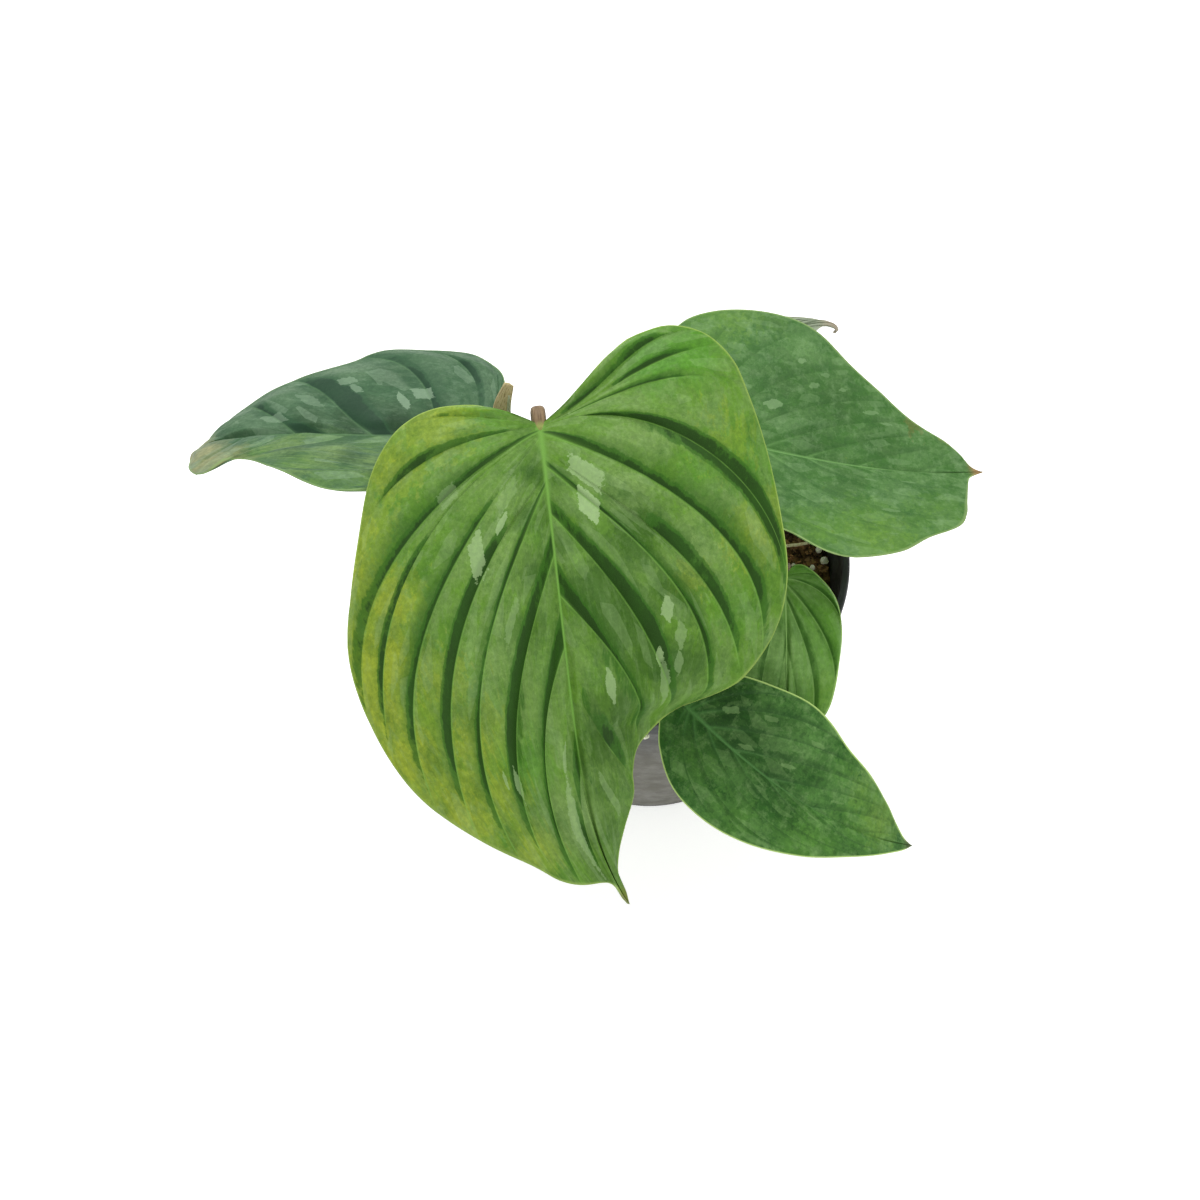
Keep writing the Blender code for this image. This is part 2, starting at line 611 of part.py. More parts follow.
def build():
    clear_scene()
    parts = new_collection("potted_philodendron")
    cutters = new_collection("cutters")
    make_pot(parts, cutters)
    soil = make_soil(parts, cutters)
    make_stem(parts)
    for key, leaf in LEAVES.items():
        make_blade(key, leaf, parts)
        make_petiole(key, leaf, parts)
    papery = material("sheath_tan", (0.45, 0.36, 0.20, 1.0), 0.75)
    tube("sheath", SHEATH_ROUTE, SHEATH_RADII, parts, papery)
    young = material("young_leaf", (0.50, 0.55, 0.22, 1.0), 0.6)
    tube("young_leaf_spear", SPEAR_ROUTE, SPEAR_RADII, parts, young)
    ground = BVHTree.FromObject(soil, bpy.context.evaluated_depsgraph_get())
    make_root(parts, ground)
    make_crumbs(parts, ground)
    make_chips(parts, ground)


build()
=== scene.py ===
"""Looks for the potted philodendron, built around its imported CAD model.

Metres, +Z up, in the CAD model's own frame.  Each blade is designed flat, as in the CAD
source: "a" runs along the midrib from the joint to the tip, and "b" runs across it.  Here
its side veins also pleat it: the sheet arches up from each vein and falls steeply to the
next one.
"""
from math import cos, pi, radians, sin

import bmesh
import bpy
import numpy as np
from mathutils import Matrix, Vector


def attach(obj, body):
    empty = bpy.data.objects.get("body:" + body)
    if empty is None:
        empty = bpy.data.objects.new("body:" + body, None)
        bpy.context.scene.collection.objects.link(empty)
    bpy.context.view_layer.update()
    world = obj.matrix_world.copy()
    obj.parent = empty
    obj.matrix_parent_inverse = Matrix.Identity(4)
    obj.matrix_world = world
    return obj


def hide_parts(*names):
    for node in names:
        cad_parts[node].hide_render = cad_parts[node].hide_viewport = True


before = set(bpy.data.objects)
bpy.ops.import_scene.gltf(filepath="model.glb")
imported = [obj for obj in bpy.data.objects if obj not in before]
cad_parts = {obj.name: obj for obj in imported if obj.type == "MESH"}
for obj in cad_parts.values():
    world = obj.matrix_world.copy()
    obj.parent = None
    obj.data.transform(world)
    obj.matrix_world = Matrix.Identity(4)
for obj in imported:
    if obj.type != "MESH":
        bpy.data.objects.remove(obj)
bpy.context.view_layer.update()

POT_HEIGHT = 0.130
POT_BASE_RADIUS = 0.055
POT_RIM_RADIUS = 0.075
POT_WALL = 0.0016
POT_FLOOR = 0.0024
LIP_HEIGHT = 0.009
LIP_OVERHANG = 0.0018
LIP_ROUND = 0.0012
POT_STEPS = 144
DRAIN_HOLES = 6
DRAIN_HOLE_RADIUS = 0.0045
DRAIN_CIRCLE = 0.040

SOIL_TOP = 0.112
SOIL_ROUGHNESS = 0.0012

STEM_X = -0.004
STEM_Y = 0.008
STEM_RADIUS = 0.0078
STEM_DEPTH = 0.016
STEM_TOP = 0.141
STEM_ROUND = 0.004

RIB_THICKNESS = 0.0024
PETIOLE_RADIUS = 0.00235
PETIOLE_LEVEL_RUN = 0.008
PETIOLE_BOW = 0.3

SHEATH_ROUTE = ((-0.0133, 0.0110, 0.1368), (-0.034, 0.011, 0.152), (-0.050, 0.013, 0.172),
                (-0.0568, 0.0155, 0.188), (-0.0568, 0.0182, 0.196), (-0.0540, 0.0212, 0.205))
SPEAR_ROUTE = ((-0.0500, 0.0145, 0.177), (-0.0542, 0.0150, 0.1895), (-0.0543, 0.0178, 0.1977),
               (-0.0541, 0.0192, 0.2014))
FACING_VIEWER = (0.0, -0.5, 0.87)

# Side veins, from the edge of the notch to the tip.  Each leaves the midrib at a share of the
# blade's length, meets the margin at a share of the margin's length, and bows away from its
# chord by so many degrees at each end.  Then come the depth of its crease, the shares of its
# length where the crease begins and where it starts to fade, and how much painted shade the
# blade gets just past it.  A row that stops early goes on with CREASE_USUAL.
CREASE_USUAL = (1, 0, 1, 0)
USUAL_VEINS = (
    (0.0, 0.0, 12, 12, 0.0), (0.004, 0.08, 20, 20, 0.5, 0, 0.6),
    (0.010, 0.24, 30, 30, 0.8, 0, 0.8), (0.020, 0.44, 38, 38), (0.040, 0.60, 32, 32),
    (0.10, 0.72, 22, 22), (0.21, 0.80, 17, 17), (0.36, 0.86, 14, 14, 0.9),
    (0.54, 0.91, 12, 12, 0.8), (0.76, 0.955, 10, 10, 0.6), (1.0, 1.0, 8, 8, 0.0),
)
BACK_LOWER_VEINS = (
    *USUAL_VEINS[:3], (0.020, 0.44, 38, 14), (0.040, 0.60, 32, 24), *USUAL_VEINS[5:],
)
FRONT_LEFT_VEINS = (
    (0.0, 0.0, -12, -12, 0.0), (0.003, 0.155, -14, 31, 0.9, 0.05, 0.70),
    (0.0045, 0.19, -4, 18, 0.8, 0.30, 0.75), (0.006, 0.262, 11, 38, 1, 0.02, 0.55),
    (0.010, 0.515, 58, 58, 0.9, 0.05, 1, 0.9), (0.018, 0.605, 24, 52, 1, 0, 1, 0.1),
    (0.055, 0.645, 11, 35, 0.9, 0.30, 0.85), (0.088, 0.705, 16, 48, 1, 0, 1, 0.2),
    (0.190, 0.740, 12, 20, 1, 0, 0.85, 0.1), (0.355, 0.785, 14, 26, 0.9, 0, 0.8, 0.4),
    (0.530, 0.83, -6, -4, 0.6, 0.1, 0.8), (0.70, 0.92, 5, 0, 0.25), (1.0, 1.0, 0, 0, 0.0),
)
FRONT_RIGHT_VEINS = (
    (0.0, 0.0, 0, 0, 0.0), (0.003, 0.135, 4, 15, 0.4, 0.2, 0.7),
    (0.006, 0.322, 24, 37, 0.6, 0.05, 0.7), (0.013, 0.575, 28, 46, 0.86),
    (0.019, 0.64, 33, 40, 0.8, 0.30, 0.8), (0.025, 0.716, 18, 40, 1, 0.10, 0.9),
    (0.110, 0.775, 24, 31, 1, 0.10, 0.85), (0.127, 0.834, 16, 31, 1, 0, 0.9),
    (0.272, 0.884, 14, 23, 1, 0, 0.85, 0.3), (0.46, 0.92, 20, 14, 1, 0, 0.9),
    (0.70, 0.958, 12, 8, 0.6), (1.0, 1.0, 0, 0, 0.0),
)
LEFT_LEFT_VEINS = (
    (0.0, 0.0, 0, 0, 0.0), (0.006, 0.20, 40, 40, 0.5), (0.010, 0.42, 72, 59, 0.6),
    (0.014, 0.55, 75, 43, 0.8, 0, 1, 0.3), (0.36, 0.615, 30, 0, 0.5, 0, 1, 0.2),
    (0.52, 0.665, 8, 0, 0.3), (0.66, 0.75, 6, 0, 0.2), (1.0, 1.0, 0, 0, 0.0),
)
LEFT_RIGHT_VEINS = (
    (0.0, 0.0, 0, 0, 0.0), (0.004, 0.10, 20, 20, 0.4), (0.02, 0.28, 34, 44, 0.7),
    (0.13, 0.455, 38, 56, 1, 0, 1, 0.3), (0.30, 0.64, -4, 20, 1, 0, 1, 0.3),
    (0.52, 0.77, 6, 10, 0.9, 0, 0.8, 0.3), (0.74, 0.90, 8, 8, 0.3), (1.0, 1.0, 0, 0, 0.0),
)

SMALL_VEINS = (
    (0.0, 0.0, 0, 0, 0.0), (0.010, 0.14, 20, 20, 0.5), (0.022, 0.42, 40, 50, 1, 0, 1, 0.2),
    (0.050, 0.72, 20, 36, 1, 0, 1, 0.3), (0.14, 0.87, 12, 22, 0.8), (0.42, 0.94, 8, 8, 0.5),
    (1.0, 1.0, 0, 0, 0.0),
)

# Each blade's place, bends and outline, then its looks.  The outlines follow the CAD blades'
# and leave them by up to 8 mm.  What a blade leaves out, it takes from USUAL_LEAF.
USUAL_LEAF = {
    "turn_power": 1.5, "dip_power": 1, "roll": (0, 0), "tuck": None,
    "veins": (USUAL_VEINS, USUAL_VEINS), "margin": (0.6, 0.6),
}
# A blade's tone sets the strength of its painted crease and flank shade and of some darker
# washes.
LEAVES = {
    "front": {
        "joint": (-0.0424, -0.0014, 0.2120), "length": 0.167,
        "heading": -83, "turn": 38, "turn_power": 6,
        "dip": (14, 42), "roll": (3, -2),
        "fold": ((6, 6), (6, 2)), "droop": ((4, 2), (4, 6)), "tuck": (0.56, 0.64, 32.5),
        "veins": (FRONT_LEFT_VEINS, FRONT_RIGHT_VEINS),
        "left": ((-16, 20.6), (-22.3, 27), (-26.5, 32.5), (-29, 39.5), (-30.5, 47), (-29, 55),
                 (-25, 62), (-17, 68), (-8, 71), (14, 75), (40, 77), (62, 76.4), (80, 69.5),
                 (95, 56.3), (105, 39.5), (114, 25), (123, 20.5), (133, 19), (143, 12.3),
                 (151.5, 6), (156, 3.2), (160.5, 2.6), (164.5, 2)),
        "right": ((-7, 15), (-9, 21), (-9.7, 28), (-9.5, 35), (-7, 43), (-1, 51), (12, 59),
                  (33, 65), (52, 69.5), (70, 72.3), (88, 69.5), (106, 62), (119, 52.6),
                  (131, 38.4), (142, 23.5), (149, 16.4), (153, 10.4), (155.5, 4.2), (157.3, 1.6),
                  (160, 0.5), (164.5, 0.4)),
        "stem_angle": 196, "stem_height": 0.131, "rise": 0.030,
        "pleat": 0.15, "tone": 1.0, "rib": 0.8, "line": 0.5, "steps": 72,
        "flecks": 0.22, "margin": (0.45, 0.45),
    },
    "left": {
        "joint": (-0.0659, 0.0177, 0.1790), "length": 0.130,
        "heading": 181, "turn": -14,
        "dip": (-2, 87), "dip_power": 3.5, "roll": (17, 17),
        "fold": ((15, 12), (12, 8)), "droop": ((2, 4), (6, 6)),
        "veins": (LEFT_LEFT_VEINS, LEFT_RIGHT_VEINS),
        "left": ((-11, 27), (-8, 35), (0, 42), (16, 45), (35, 44), (46, 43), (55, 37.5),
                 (64, 30), (75, 22), (82, 19.5), (86, 22.5), (88.5, 28), (92, 28), (96, 24.5),
                 (100, 19.5), (104, 13.5), (109, 7.5), (115, 3.5), (122, 1.2)),
        "right": ((-9, 26), (-7.5, 35), (-3.5, 42), (3.7, 49.5), (12, 52.4), (28, 54.5),
                  (40, 54), (48, 50), (55, 44), (65, 38.5), (77, 33), (87, 27), (95, 20.5),
                  (104, 14), (112, 7.5), (119, 3)),
        "stem_angle": 168, "stem_height": 0.1205, "rise": 0.022,
        "pleat": 0.12, "tone": 0.8, "rib": 0.7, "line": 0.3, "steps": 52,
        "flecks": 0.30, "margin": (0.6, 0.5),
    },
    "back_right": {
        "joint": (0.0151, 0.0248, 0.1720), "length": 0.1125,
        "heading": -14, "turn": 30,
        "dip": (4, 16),
        "fold": ((10, 10), (12, 12)), "droop": ((4, 2), (2, 2)),
        "veins": (USUAL_VEINS, BACK_LOWER_VEINS),
        "left": ((-20, 36), (-19, 44), (-13, 52), (-1, 59), (14, 62), (30, 61), (43, 56),
                 (57, 44.8), (72, 33.6), (83, 24.2), (91, 18.8), (99, 14), (104.5, 8.4),
                 (108, 2.6)),
        "right": ((-15, 24), (-10, 31), (2, 35.5), (18, 37), (34.5, 38.7), (45.5, 44.3),
                  (53, 46.2), (61, 44.6), (71, 40.4), (80, 33.6), (91.5, 27.8), (96, 21.8),
                  (98.5, 15.6), (101.5, 9), (104.5, 3.6), (107.5, 1.6)),
        "stem_angle": 42, "stem_height": 0.1315, "rise": 0.018,
        "pleat": 0.025, "tone": 0.12, "rib": 0.6, "line": 0.05, "steps": 48,
        "flecks": 0.34, "margin": (0.25, 0.6),
    },
    "lower_right": {
        "joint": (0.0079, -0.0749, 0.1460), "length": 0.1075,
        "heading": -43, "turn": 55,
        "dip": (12, 40), "roll": (8, 6),
        "fold": ((14, 14), (10, 4)), "droop": ((6, 4), (6, 4)),
        "left": ((-3, 12), (6, 21), (21, 27.4), (35, 30.6), (48, 29.6), (61, 25.6), (78, 20.8),
                 (91, 13.4), (98, 7), (103, 2.4)),
        "right": ((-3, 10.5), (4, 18), (15.5, 25), (29, 26.6), (43, 24.2), (60, 18),
                  (76, 10.9), (93, 4.9), (102, 2.2)),
        "stem_angle": -92, "stem_height": 0.126, "rise": 0.016,
        "pleat": 0.025, "tone": 0.15, "rib": 0.4, "line": 0.04, "steps": 44,
        "flecks": 0.48, "margin": (0.75, 0.5),
    },
    "small": {
        "joint": (0.0460, -0.0236, 0.1500), "length": 0.065,
        "heading": -90, "turn": -2,
        "dip": (14, 34),
        "fold": ((8, 6), (8, 6)), "droop": ((10, 6), (10, 6)),
        "veins": (SMALL_VEINS, SMALL_VEINS),
        "left": ((-3.8, 3.5), (-3.6, 7), (0, 11.7), (7, 17.3), (14, 19.6), (24, 20.1),
                 (36, 18.3), (48, 15.8), (56, 10.5), (61.5, 4.5)),
        "right": ((-3.8, 3.5), (-3.6, 7), (0, 11.7), (7, 17.3), (14, 19.6), (24, 20.1),
                  (36, 18.3), (48, 14.5), (56, 9), (61.5, 4)),
        "stem_angle": -38, "stem_height": 0.122, "rise": 0.012,
        "pleat": 0.13, "tone": 0.6, "rib": 0.8, "line": 0.4, "steps": 36,
        "flecks": 0.25,
    },
    "hidden_back": {
        "joint": (0.0140, 0.0695, 0.1500), "length": 0.0737,
        "heading": 34, "turn": -43.3, "turn_power": 3,
        "dip": (0.65, 150), "dip_power": 18.5,
        "fold": ((10, 10), (10, 10)), "droop": ((4, 4), (4, 4)),
        "left": ((-5, 9), (1, 15), (11, 18), (24, 18), (36, 14), (48, 7), (60, 2.6),
                 (65, 1), (71, 0.8)),
        "right": ((-5, 9), (1, 16), (11, 19), (24, 20), (36, 19), (47, 14), (57, 6), (62, 2.2),
                  (65, 0.9), (71, 0.8)),
        "stem_angle": 76, "stem_height": 0.1215, "rise": 0.014,
        "pleat": 0.08, "tone": 0.3, "rib": 0.6, "line": 0.2, "steps": 32,
        "flecks": 0.20,
    },
}
SIDES = (("left", 1), ("right", -1))

# Colours as 0-255 screen values, one row for each blade.
COLOUR_NAMES = ("mid", "light", "shadow", "dark", "fresh", "yellow", "silver", "rib", "edge",
                "tip")
LEAF_COLOURS = {
    "front": ((98, 141, 47), (132, 162, 92), (50, 99, 22), (36, 68, 17), (84, 146, 34),
              (158, 174, 54), (158, 188, 130), (112, 160, 68), (160, 188, 94), (108, 114, 46)),
    # The left blade's blue-grey greens are partly its own colour and partly a painted sheen: the
    # pale surroundings reflected at a grazing angle.
    "left": ((66, 102, 68), (102, 132, 98), (48, 86, 56), (34, 62, 44), (94, 132, 60),
             (130, 158, 90), (140, 168, 138), (92, 130, 86), (130, 160, 100), (142, 144, 94)),
    "back_right": ((68, 112, 50), (106, 144, 86), (54, 94, 48), (46, 84, 40), (98, 142, 54),
                   (110, 148, 60), (142, 176, 124), (110, 154, 88), (158, 186, 118),
                   (158, 120, 80)),
    "lower_right": ((50, 98, 34), (98, 146, 72), (34, 76, 28), (24, 56, 20), (90, 140, 56),
                    (112, 150, 62), (134, 172, 106), (84, 134, 70), (190, 220, 130),
                    (66, 76, 42)),
    "small": ((98, 148, 56), (134, 172, 100), (62, 110, 34), (42, 82, 22), (104, 158, 54),
              (124, 164, 60), (146, 184, 118), (150, 192, 112), (168, 204, 116),
              (110, 130, 56)),
    "hidden_back": ((142, 154, 130), (160, 170, 148), (122, 136, 110), (106, 120, 94),
                    (138, 156, 116), (140, 152, 112), (168, 178, 158), (152, 166, 138),
                    (166, 172, 148), (180, 166, 146)),
}

# Shares of a panel, from one vein to the next, where a blade's grid has its rows.
PANEL_PLACES = (0.0, 0.025, 0.07, 0.13, 0.21, 0.30, 0.39, 0.48, 0.56, 0.63, 0.69, 0.75, 0.80,
                0.85, 0.90, 0.94, 0.975)
FEWER_PLACES = (0.0, 0.04, 0.12, 0.24, 0.38, 0.52, 0.64, 0.74, 0.83, 0.91, 0.97)
SEAM = 0.00012

# A sheet's thickness at its margin, what its body, its rib and its veins add below, and the
# depth of the groove above its rib.
MARGIN_THICKNESS = 0.00030
BODY_EXTRA = 0.00030
RIB_EXTRA = 0.0016
VEIN_EXTRA = 0.00055
GROOVE_DEPTH = 0.0006

# By what share the points from midrib to margin lie closer together at both ends.
END_CROWDING = 0.12

# How far a vein's handles reach along its chord, and the tallest that a pleat gets.
VEIN_HANDLE = 0.38
TALLEST_PLEAT = 0.0026

CRUMB_COUNT = 2600
CRUMB_SEED = 11

CAMERA_PLACE = (-0.0221, -0.2894, 0.5919)
CAMERA_TILT = 30
CAMERA_LENS = 42.0
SENSOR_WIDTH = 36.0


def between(pair, share):
    return pair[0] + (pair[1] - pair[0]) * share


def smooth_step(share):
    share = np.clip(share, 0.0, 1.0)
    return share * share * (3 - 2 * share)


def smooth_curve(points, count):
    """Points evenly spaced along a Catmull-Rom curve through the given points."""
    points = np.array(points, float)
    padded = np.vstack([2 * points[0] - points[1], points, 2 * points[-1] - points[-2]])
    dense = []
    for index in range(len(points) - 1):
        p0, p1, p2, p3 = padded[index:index + 4]
        for t in np.linspace(0, 1, 16, endpoint=False):
            square = 2 * p0 - 5 * p1 + 4 * p2 - p3
            cube = 3 * p1 - p0 - 3 * p2 + p3
            dense.append(0.5 * (2 * p1 + (p2 - p0) * t + square * t * t + cube * t ** 3))
    dense.append(points[-1])
    dense = np.array(dense)
    run = np.concatenate([[0.0], np.cumsum(np.linalg.norm(np.diff(dense, axis=0), axis=1))])
    wanted = np.linspace(0, run[-1], count)
    columns = [np.interp(wanted, run, dense[:, axis]) for axis in range(dense.shape[1])]
    return np.stack(columns, axis=-1)


def along(values, at, places):
    """Read rows of values, known at the given places, at other places."""
    columns = [np.interp(at, places, values[:, axis]) for axis in range(values.shape[1])]
    return np.stack(columns, axis=-1)


def unit(vectors):
    return vectors / np.linalg.norm(vectors, axis=-1, keepdims=True)


def half_of(pair, side):
    """Which of a pair of values belongs to the left half (side 1) or the right (side -1)."""
    return pair[0 if side > 0 else 1]


def margin_curve(leaf, side_name, side, count=300):
    """The flat outline of one half, from the back of its lobe to the tip."""
    points = [(a / 1000, side * b / 1000) for a, b in leaf[side_name]]
    points.append((leaf["length"], 0.0))
    return smooth_curve(points, count)


def vein_table(leaf, side):
    """One half's veins as rows of eight numbers."""
    rows = [row + CREASE_USUAL[len(row) - 4:] for row in half_of(leaf["veins"], side)]
    return np.array(rows, float)


def vein_point(leaf, side_name, side, row, step):
    """Flat point (a, b) on vein number row, at the share step from midrib to margin."""
    table = vein_table(leaf, side)
    numbers = np.arange(len(table))
    start = np.interp(row, numbers, table[:, 0]) * leaf["length"]
    root = np.stack([start, np.zeros_like(start)], axis=-1)
    margin = margin_curve(leaf, side_name, side)
    places = np.linspace(0, 1, len(margin))
    end = along(margin, np.interp(row, numbers, table[:, 1]), places)
    reach = np.linalg.norm(end - root, axis=-1, keepdims=True)
    chord = np.arctan2(side * (end - root)[..., 1], (end - root)[..., 0])
    bow_out = chord + np.radians(np.interp(row, numbers, table[:, 2]))
    bow_in = chord - np.radians(np.interp(row, numbers, table[:, 3]))
    leaving = np.stack([np.cos(bow_out), side * np.sin(bow_out)], axis=-1)
    meeting = np.stack([np.cos(bow_in), side * np.sin(bow_in)], axis=-1)
    first = root + leaving * reach * VEIN_HANDLE
    second = end - meeting * reach * VEIN_HANDLE
    t = step[..., None]
    return ((1 - t) ** 3 * root + 3 * (1 - t) ** 2 * t * first
            + 3 * (1 - t) * t ** 2 * second + t ** 3 * end)


def midrib(leaf):
    """Places along the midrib, with its points and directions in space."""
    length = leaf["length"]
    places = np.linspace(-0.5 * length, 1.05 * length, 300)
    share = np.clip(places / length, 0, 1.05)
    heading = np.radians(leaf["heading"] + leaf["turn"] * share ** leaf["turn_power"])
    dip = np.radians(between(leaf["dip"], share ** leaf["dip_power"]))
    ahead = np.stack([np.cos(dip) * np.cos(heading), np.cos(dip) * np.sin(heading),
                      -np.sin(dip)], axis=-1)
    steps = (ahead[1:] + ahead[:-1]) / 2 * (places[1] - places[0])
    line = np.concatenate([np.zeros((1, 3)), np.cumsum(steps, axis=0)])
    return places, line - along(line, 0.0, places) + np.array(leaf["joint"]), ahead


def bent(leaf, a, b, side):
    """Where the flat point (a, b) lies in space once the blade is bent, and which way is up."""
    places, line, ahead = midrib(leaf)
    spine = along(line, a, places)
    forward = unit(along(ahead, a, places))
    share = np.clip(a / leaf["length"], 0, 1)
    level = unit(np.cross([0.0, 0.0, 1.0], forward))
    upward = np.cross(forward, level)
    roll = np.radians(between(leaf["roll"], share))[..., None]
    across = np.cos(roll) * level + np.sin(roll) * upward
    normal = np.cos(roll) * upward - np.sin(roll) * level
    width = np.abs(b)
    fold = np.radians(between(half_of(leaf["fold"], side), share))
    if leaf["tuck"] and side > 0:
        first, last, angle = leaf["tuck"]
        fold = fold - radians(angle) * smooth_step((a / leaf["length"] - first) / (last - first))
    droop = between(half_of(leaf["droop"], side), share)
    sideways = side * (np.sin(fold) - np.sin(fold - droop * width)) / droop
    lift = (np.cos(fold - droop * width) - np.cos(fold)) / droop
    return spine + sideways[..., None] * across + lift[..., None] * normal, normal


def surface_up(leaf, a, b, side):
    """The bent sheet's own upward direction, turning to the spine's at the midrib."""
    small = 0.0003
    near, spine_up = bent(leaf, a, b, side)
    further = bent(leaf, a + small, b, side)[0] - near
    outward = bent(leaf, a, b + side * small, side)[0] - near
    up = unit(np.cross(further, outward) * side)
    blend = smooth_step(np.abs(b) / 0.004)[..., None]
    return unit(spine_up * (1 - blend) + up * blend)


def crease_depth(table, number, step):
    """How deep the crease of each numbered vein is at each step from midrib to margin."""
    depth = table[number, 4]
    begins = table[number, 5]
    fades = table[number, 6]
    grown = np.where(begins > 0, smooth_step((step - begins) / 0.18), 1.0)
    faded = 1 - smooth_step((step - fades) / 0.30)
    uneven = 1 - 0.16 * (1 + np.sin(9 * step + 2.4 * number))
    return depth * grown * faded * uneven


def pleats(leaf, side_name, side, row, step):
    """Pleat height in metres, with each point's painted crease shade, painted flank shade and
    nearness to a vein.
    """
    table = vein_table(leaf, side)
    panel = np.clip(np.floor(row + 1e-9), 0, len(table) - 2).astype(int)
    share = np.clip(row - panel, 0, 1)
    here = vein_point(leaf, side_name, side, panel.astype(float), step)
    beyond = vein_point(leaf, side_name, side, panel + 1.0, step)
    spacing = np.linalg.norm(beyond - here, axis=-1)
    depth_here = crease_depth(table, panel, step)
    depth_next = crease_depth(table, panel + 1, step)
    arch = np.sin(pi * share ** 1.5) ** 0.85
    floor = 1 - between((depth_here, depth_next), share)
    height = np.clip(floor * (0.6 + 0.2 * arch) + (1 - floor) * arch, 0, 1)
    envelope = smooth_step(step / 0.14) * (1 - 0.85 * smooth_step((step - 0.70) / 0.30))
    size = np.minimum(leaf["pleat"] * spacing, TALLEST_PLEAT)
    band = 0.68 + 0.10 * np.sin(3.1 * panel + 4 * step) - 0.18 * np.exp(-step / 0.16)
    near_margin = 1 - 0.7 * smooth_step((step - 0.72) / 0.28)
    broken = 0.80 + 0.20 * np.sin(11 * step + 5 * panel) * np.sin(4.3 * step + 2.1 * panel)
    # Painted shade: dark just before the next vein, and on some veins just past this one.
    before = depth_next * broken * smooth_step((share - band) / 0.24)
    after = table[panel, 7] * depth_here * (1 - smooth_step((share - 0.12) / 0.22))
    after = after * smooth_step((step - 0.22) / 0.25)
    shade = np.maximum(before, after) * near_margin
    # Painted flank shade: darker on the steep fall towards the next vein.
    flank_shade = depth_next * smooth_step((share - 0.35) / 0.60) * near_margin
    strength = np.where(share < 0.5, depth_here, depth_next)
    vein_mm = np.minimum(share, 1 - share) * spacing * 1000
    vein_mm = vein_mm + 3 * (1 - np.clip(1.6 * strength, 0, 1))
    return height * size * envelope, shade, flank_shade, vein_mm, spacing


class Graph:
    """Short calls that build one material's nodes."""

    def __init__(self, name):
        self.material = bpy.data.materials.new(name)
        self.material.use_nodes = True
        self.tree = self.material.node_tree
        self.shader = self.tree.nodes["Principled BSDF"]
        self.painted = (1.0, 1.0, 1.0, 1.0)

    def put(self, socket, value):
        if isinstance(value, bpy.types.NodeSocket):
            self.tree.links.new(value, socket)
        else:
            socket.default_value = value

    def node(self, kind, output, inputs, **settings):
        """Make a node, fill in its settings and inputs, and give back one output."""
        made = self.tree.nodes.new("ShaderNode" + kind)
        for name, value in settings.items():
            setattr(made, name, value)
        for name, value in inputs.items():
            self.put(made.inputs[name], value)
        return made.outputs[output]

    def attribute(self, name, output="Fac"):
        return self.node("Attribute", output, {}, attribute_name=name)

    def place(self):
        return self.node("TexCoord", "Object", {})

    def math(self, operation, *values):
        return self.node("Math", 0, dict(enumerate(values)), operation=operation)

    def plus(self, first, second):
        return self.math("ADD", first, second)

    def times(self, first, second):
        return self.math("MULTIPLY", first, second)

    def centred(self, value):
        """A noise value moved to lie around zero."""
        return self.math("SUBTRACT", value, 0.5)

    def span(self, value, low, high, to_low=0.0, to_high=1.0):
        """Map a value from one range to another, smoothly and clamped."""
        inputs = {"Value": value, "From Min": low, "From Max": high, "To Min": to_low,
                  "To Max": to_high}
        return self.node("MapRange", "Result", inputs, interpolation_type="SMOOTHSTEP")

    def stepped(self, value, levels, soft, reach):
        """Climb from 0 to reach in one soft-edged step at each level, like layered washes."""
        total = 0.0
        for level in levels:
            part = self.span(value, level, level + soft, 0.0, reach / len(levels))
            total = self.plus(part, total)
        return total

    def ragged(self, name, jag, size):
        """What the mesh says about a place, with its edges torn by a noise."""
        return self.math("MULTIPLY_ADD", jag, size, self.attribute(name))

    def mix(self, share, first, second, blend="MIX"):
        """Colours mixed by a share; a colour Mix node's own colours are its inputs 6 and 7."""
        return self.node("Mix", 2, {"Factor": share, 6: first, 7: second}, data_type="RGBA",
                         blend_type=blend)

    def two_tone(self, value, low, high, first, second):
        """Paint from one screen colour to another as a value climbs."""
        self.painted = self.mix(self.span(value, low, high), tint(*first), tint(*second))

    def cover(self, share, colour, blend="MIX"):
        """Lay a colour over what is painted so far."""
        self.painted = self.mix(share, self.painted, colour, blend)

    def third(self, vector):
        """A vector's last part: the height of a place, or the way run along a stalk."""
        return self.node("SeparateXYZ", "Z", {0: vector})

    def stretch(self, vector, x, y, z):
        return self.node("Mapping", 0, {"Scale": (x, y, z), "Vector": vector})

    def noise(self, vector, scale, detail=3.0, roughness=0.55):
        inputs = {"Vector": vector, "Scale": scale, "Detail": detail, "Roughness": roughness}
        return self.node("TexNoise", "Fac", inputs)

    def cells(self, vector, scale):
        return self.node("TexVoronoi", "Color", {"Vector": vector, "Scale": scale})

    def bump(self, height, distance, strength):
        inputs = {"Height": height, "Distance": distance, "Strength": strength}
        self.put(self.shader.inputs["Normal"], self.node("Bump", 0, inputs))

    def finish(self, roughness, specular=0.4):
        self.put(self.shader.inputs["Base Color"], self.painted)
        self.put(self.shader.inputs["Roughness"], roughness)
        self.shader.inputs["Specular IOR Level"].default_value = specular
        return self.material


def tint(red, green, blue):
    """A screen colour from 0 to 255 as Blender's linear colour."""
    values = []
    for channel in (red, green, blue):
        level = channel / 255
        values.append(level / 12.92 if level <= 0.04045 else ((level + 0.055) / 1.055) ** 2.4)
    return (*values, 1.0)


def leaf_colours(key):
    return {name: tint(*values) for name, values in zip(COLOUR_NAMES, LEAF_COLOURS[key])}


def has_lines(leaf):
    """Whether a blade plainly shows its side veins as pale lines."""
    return leaf["line"] > 0.1


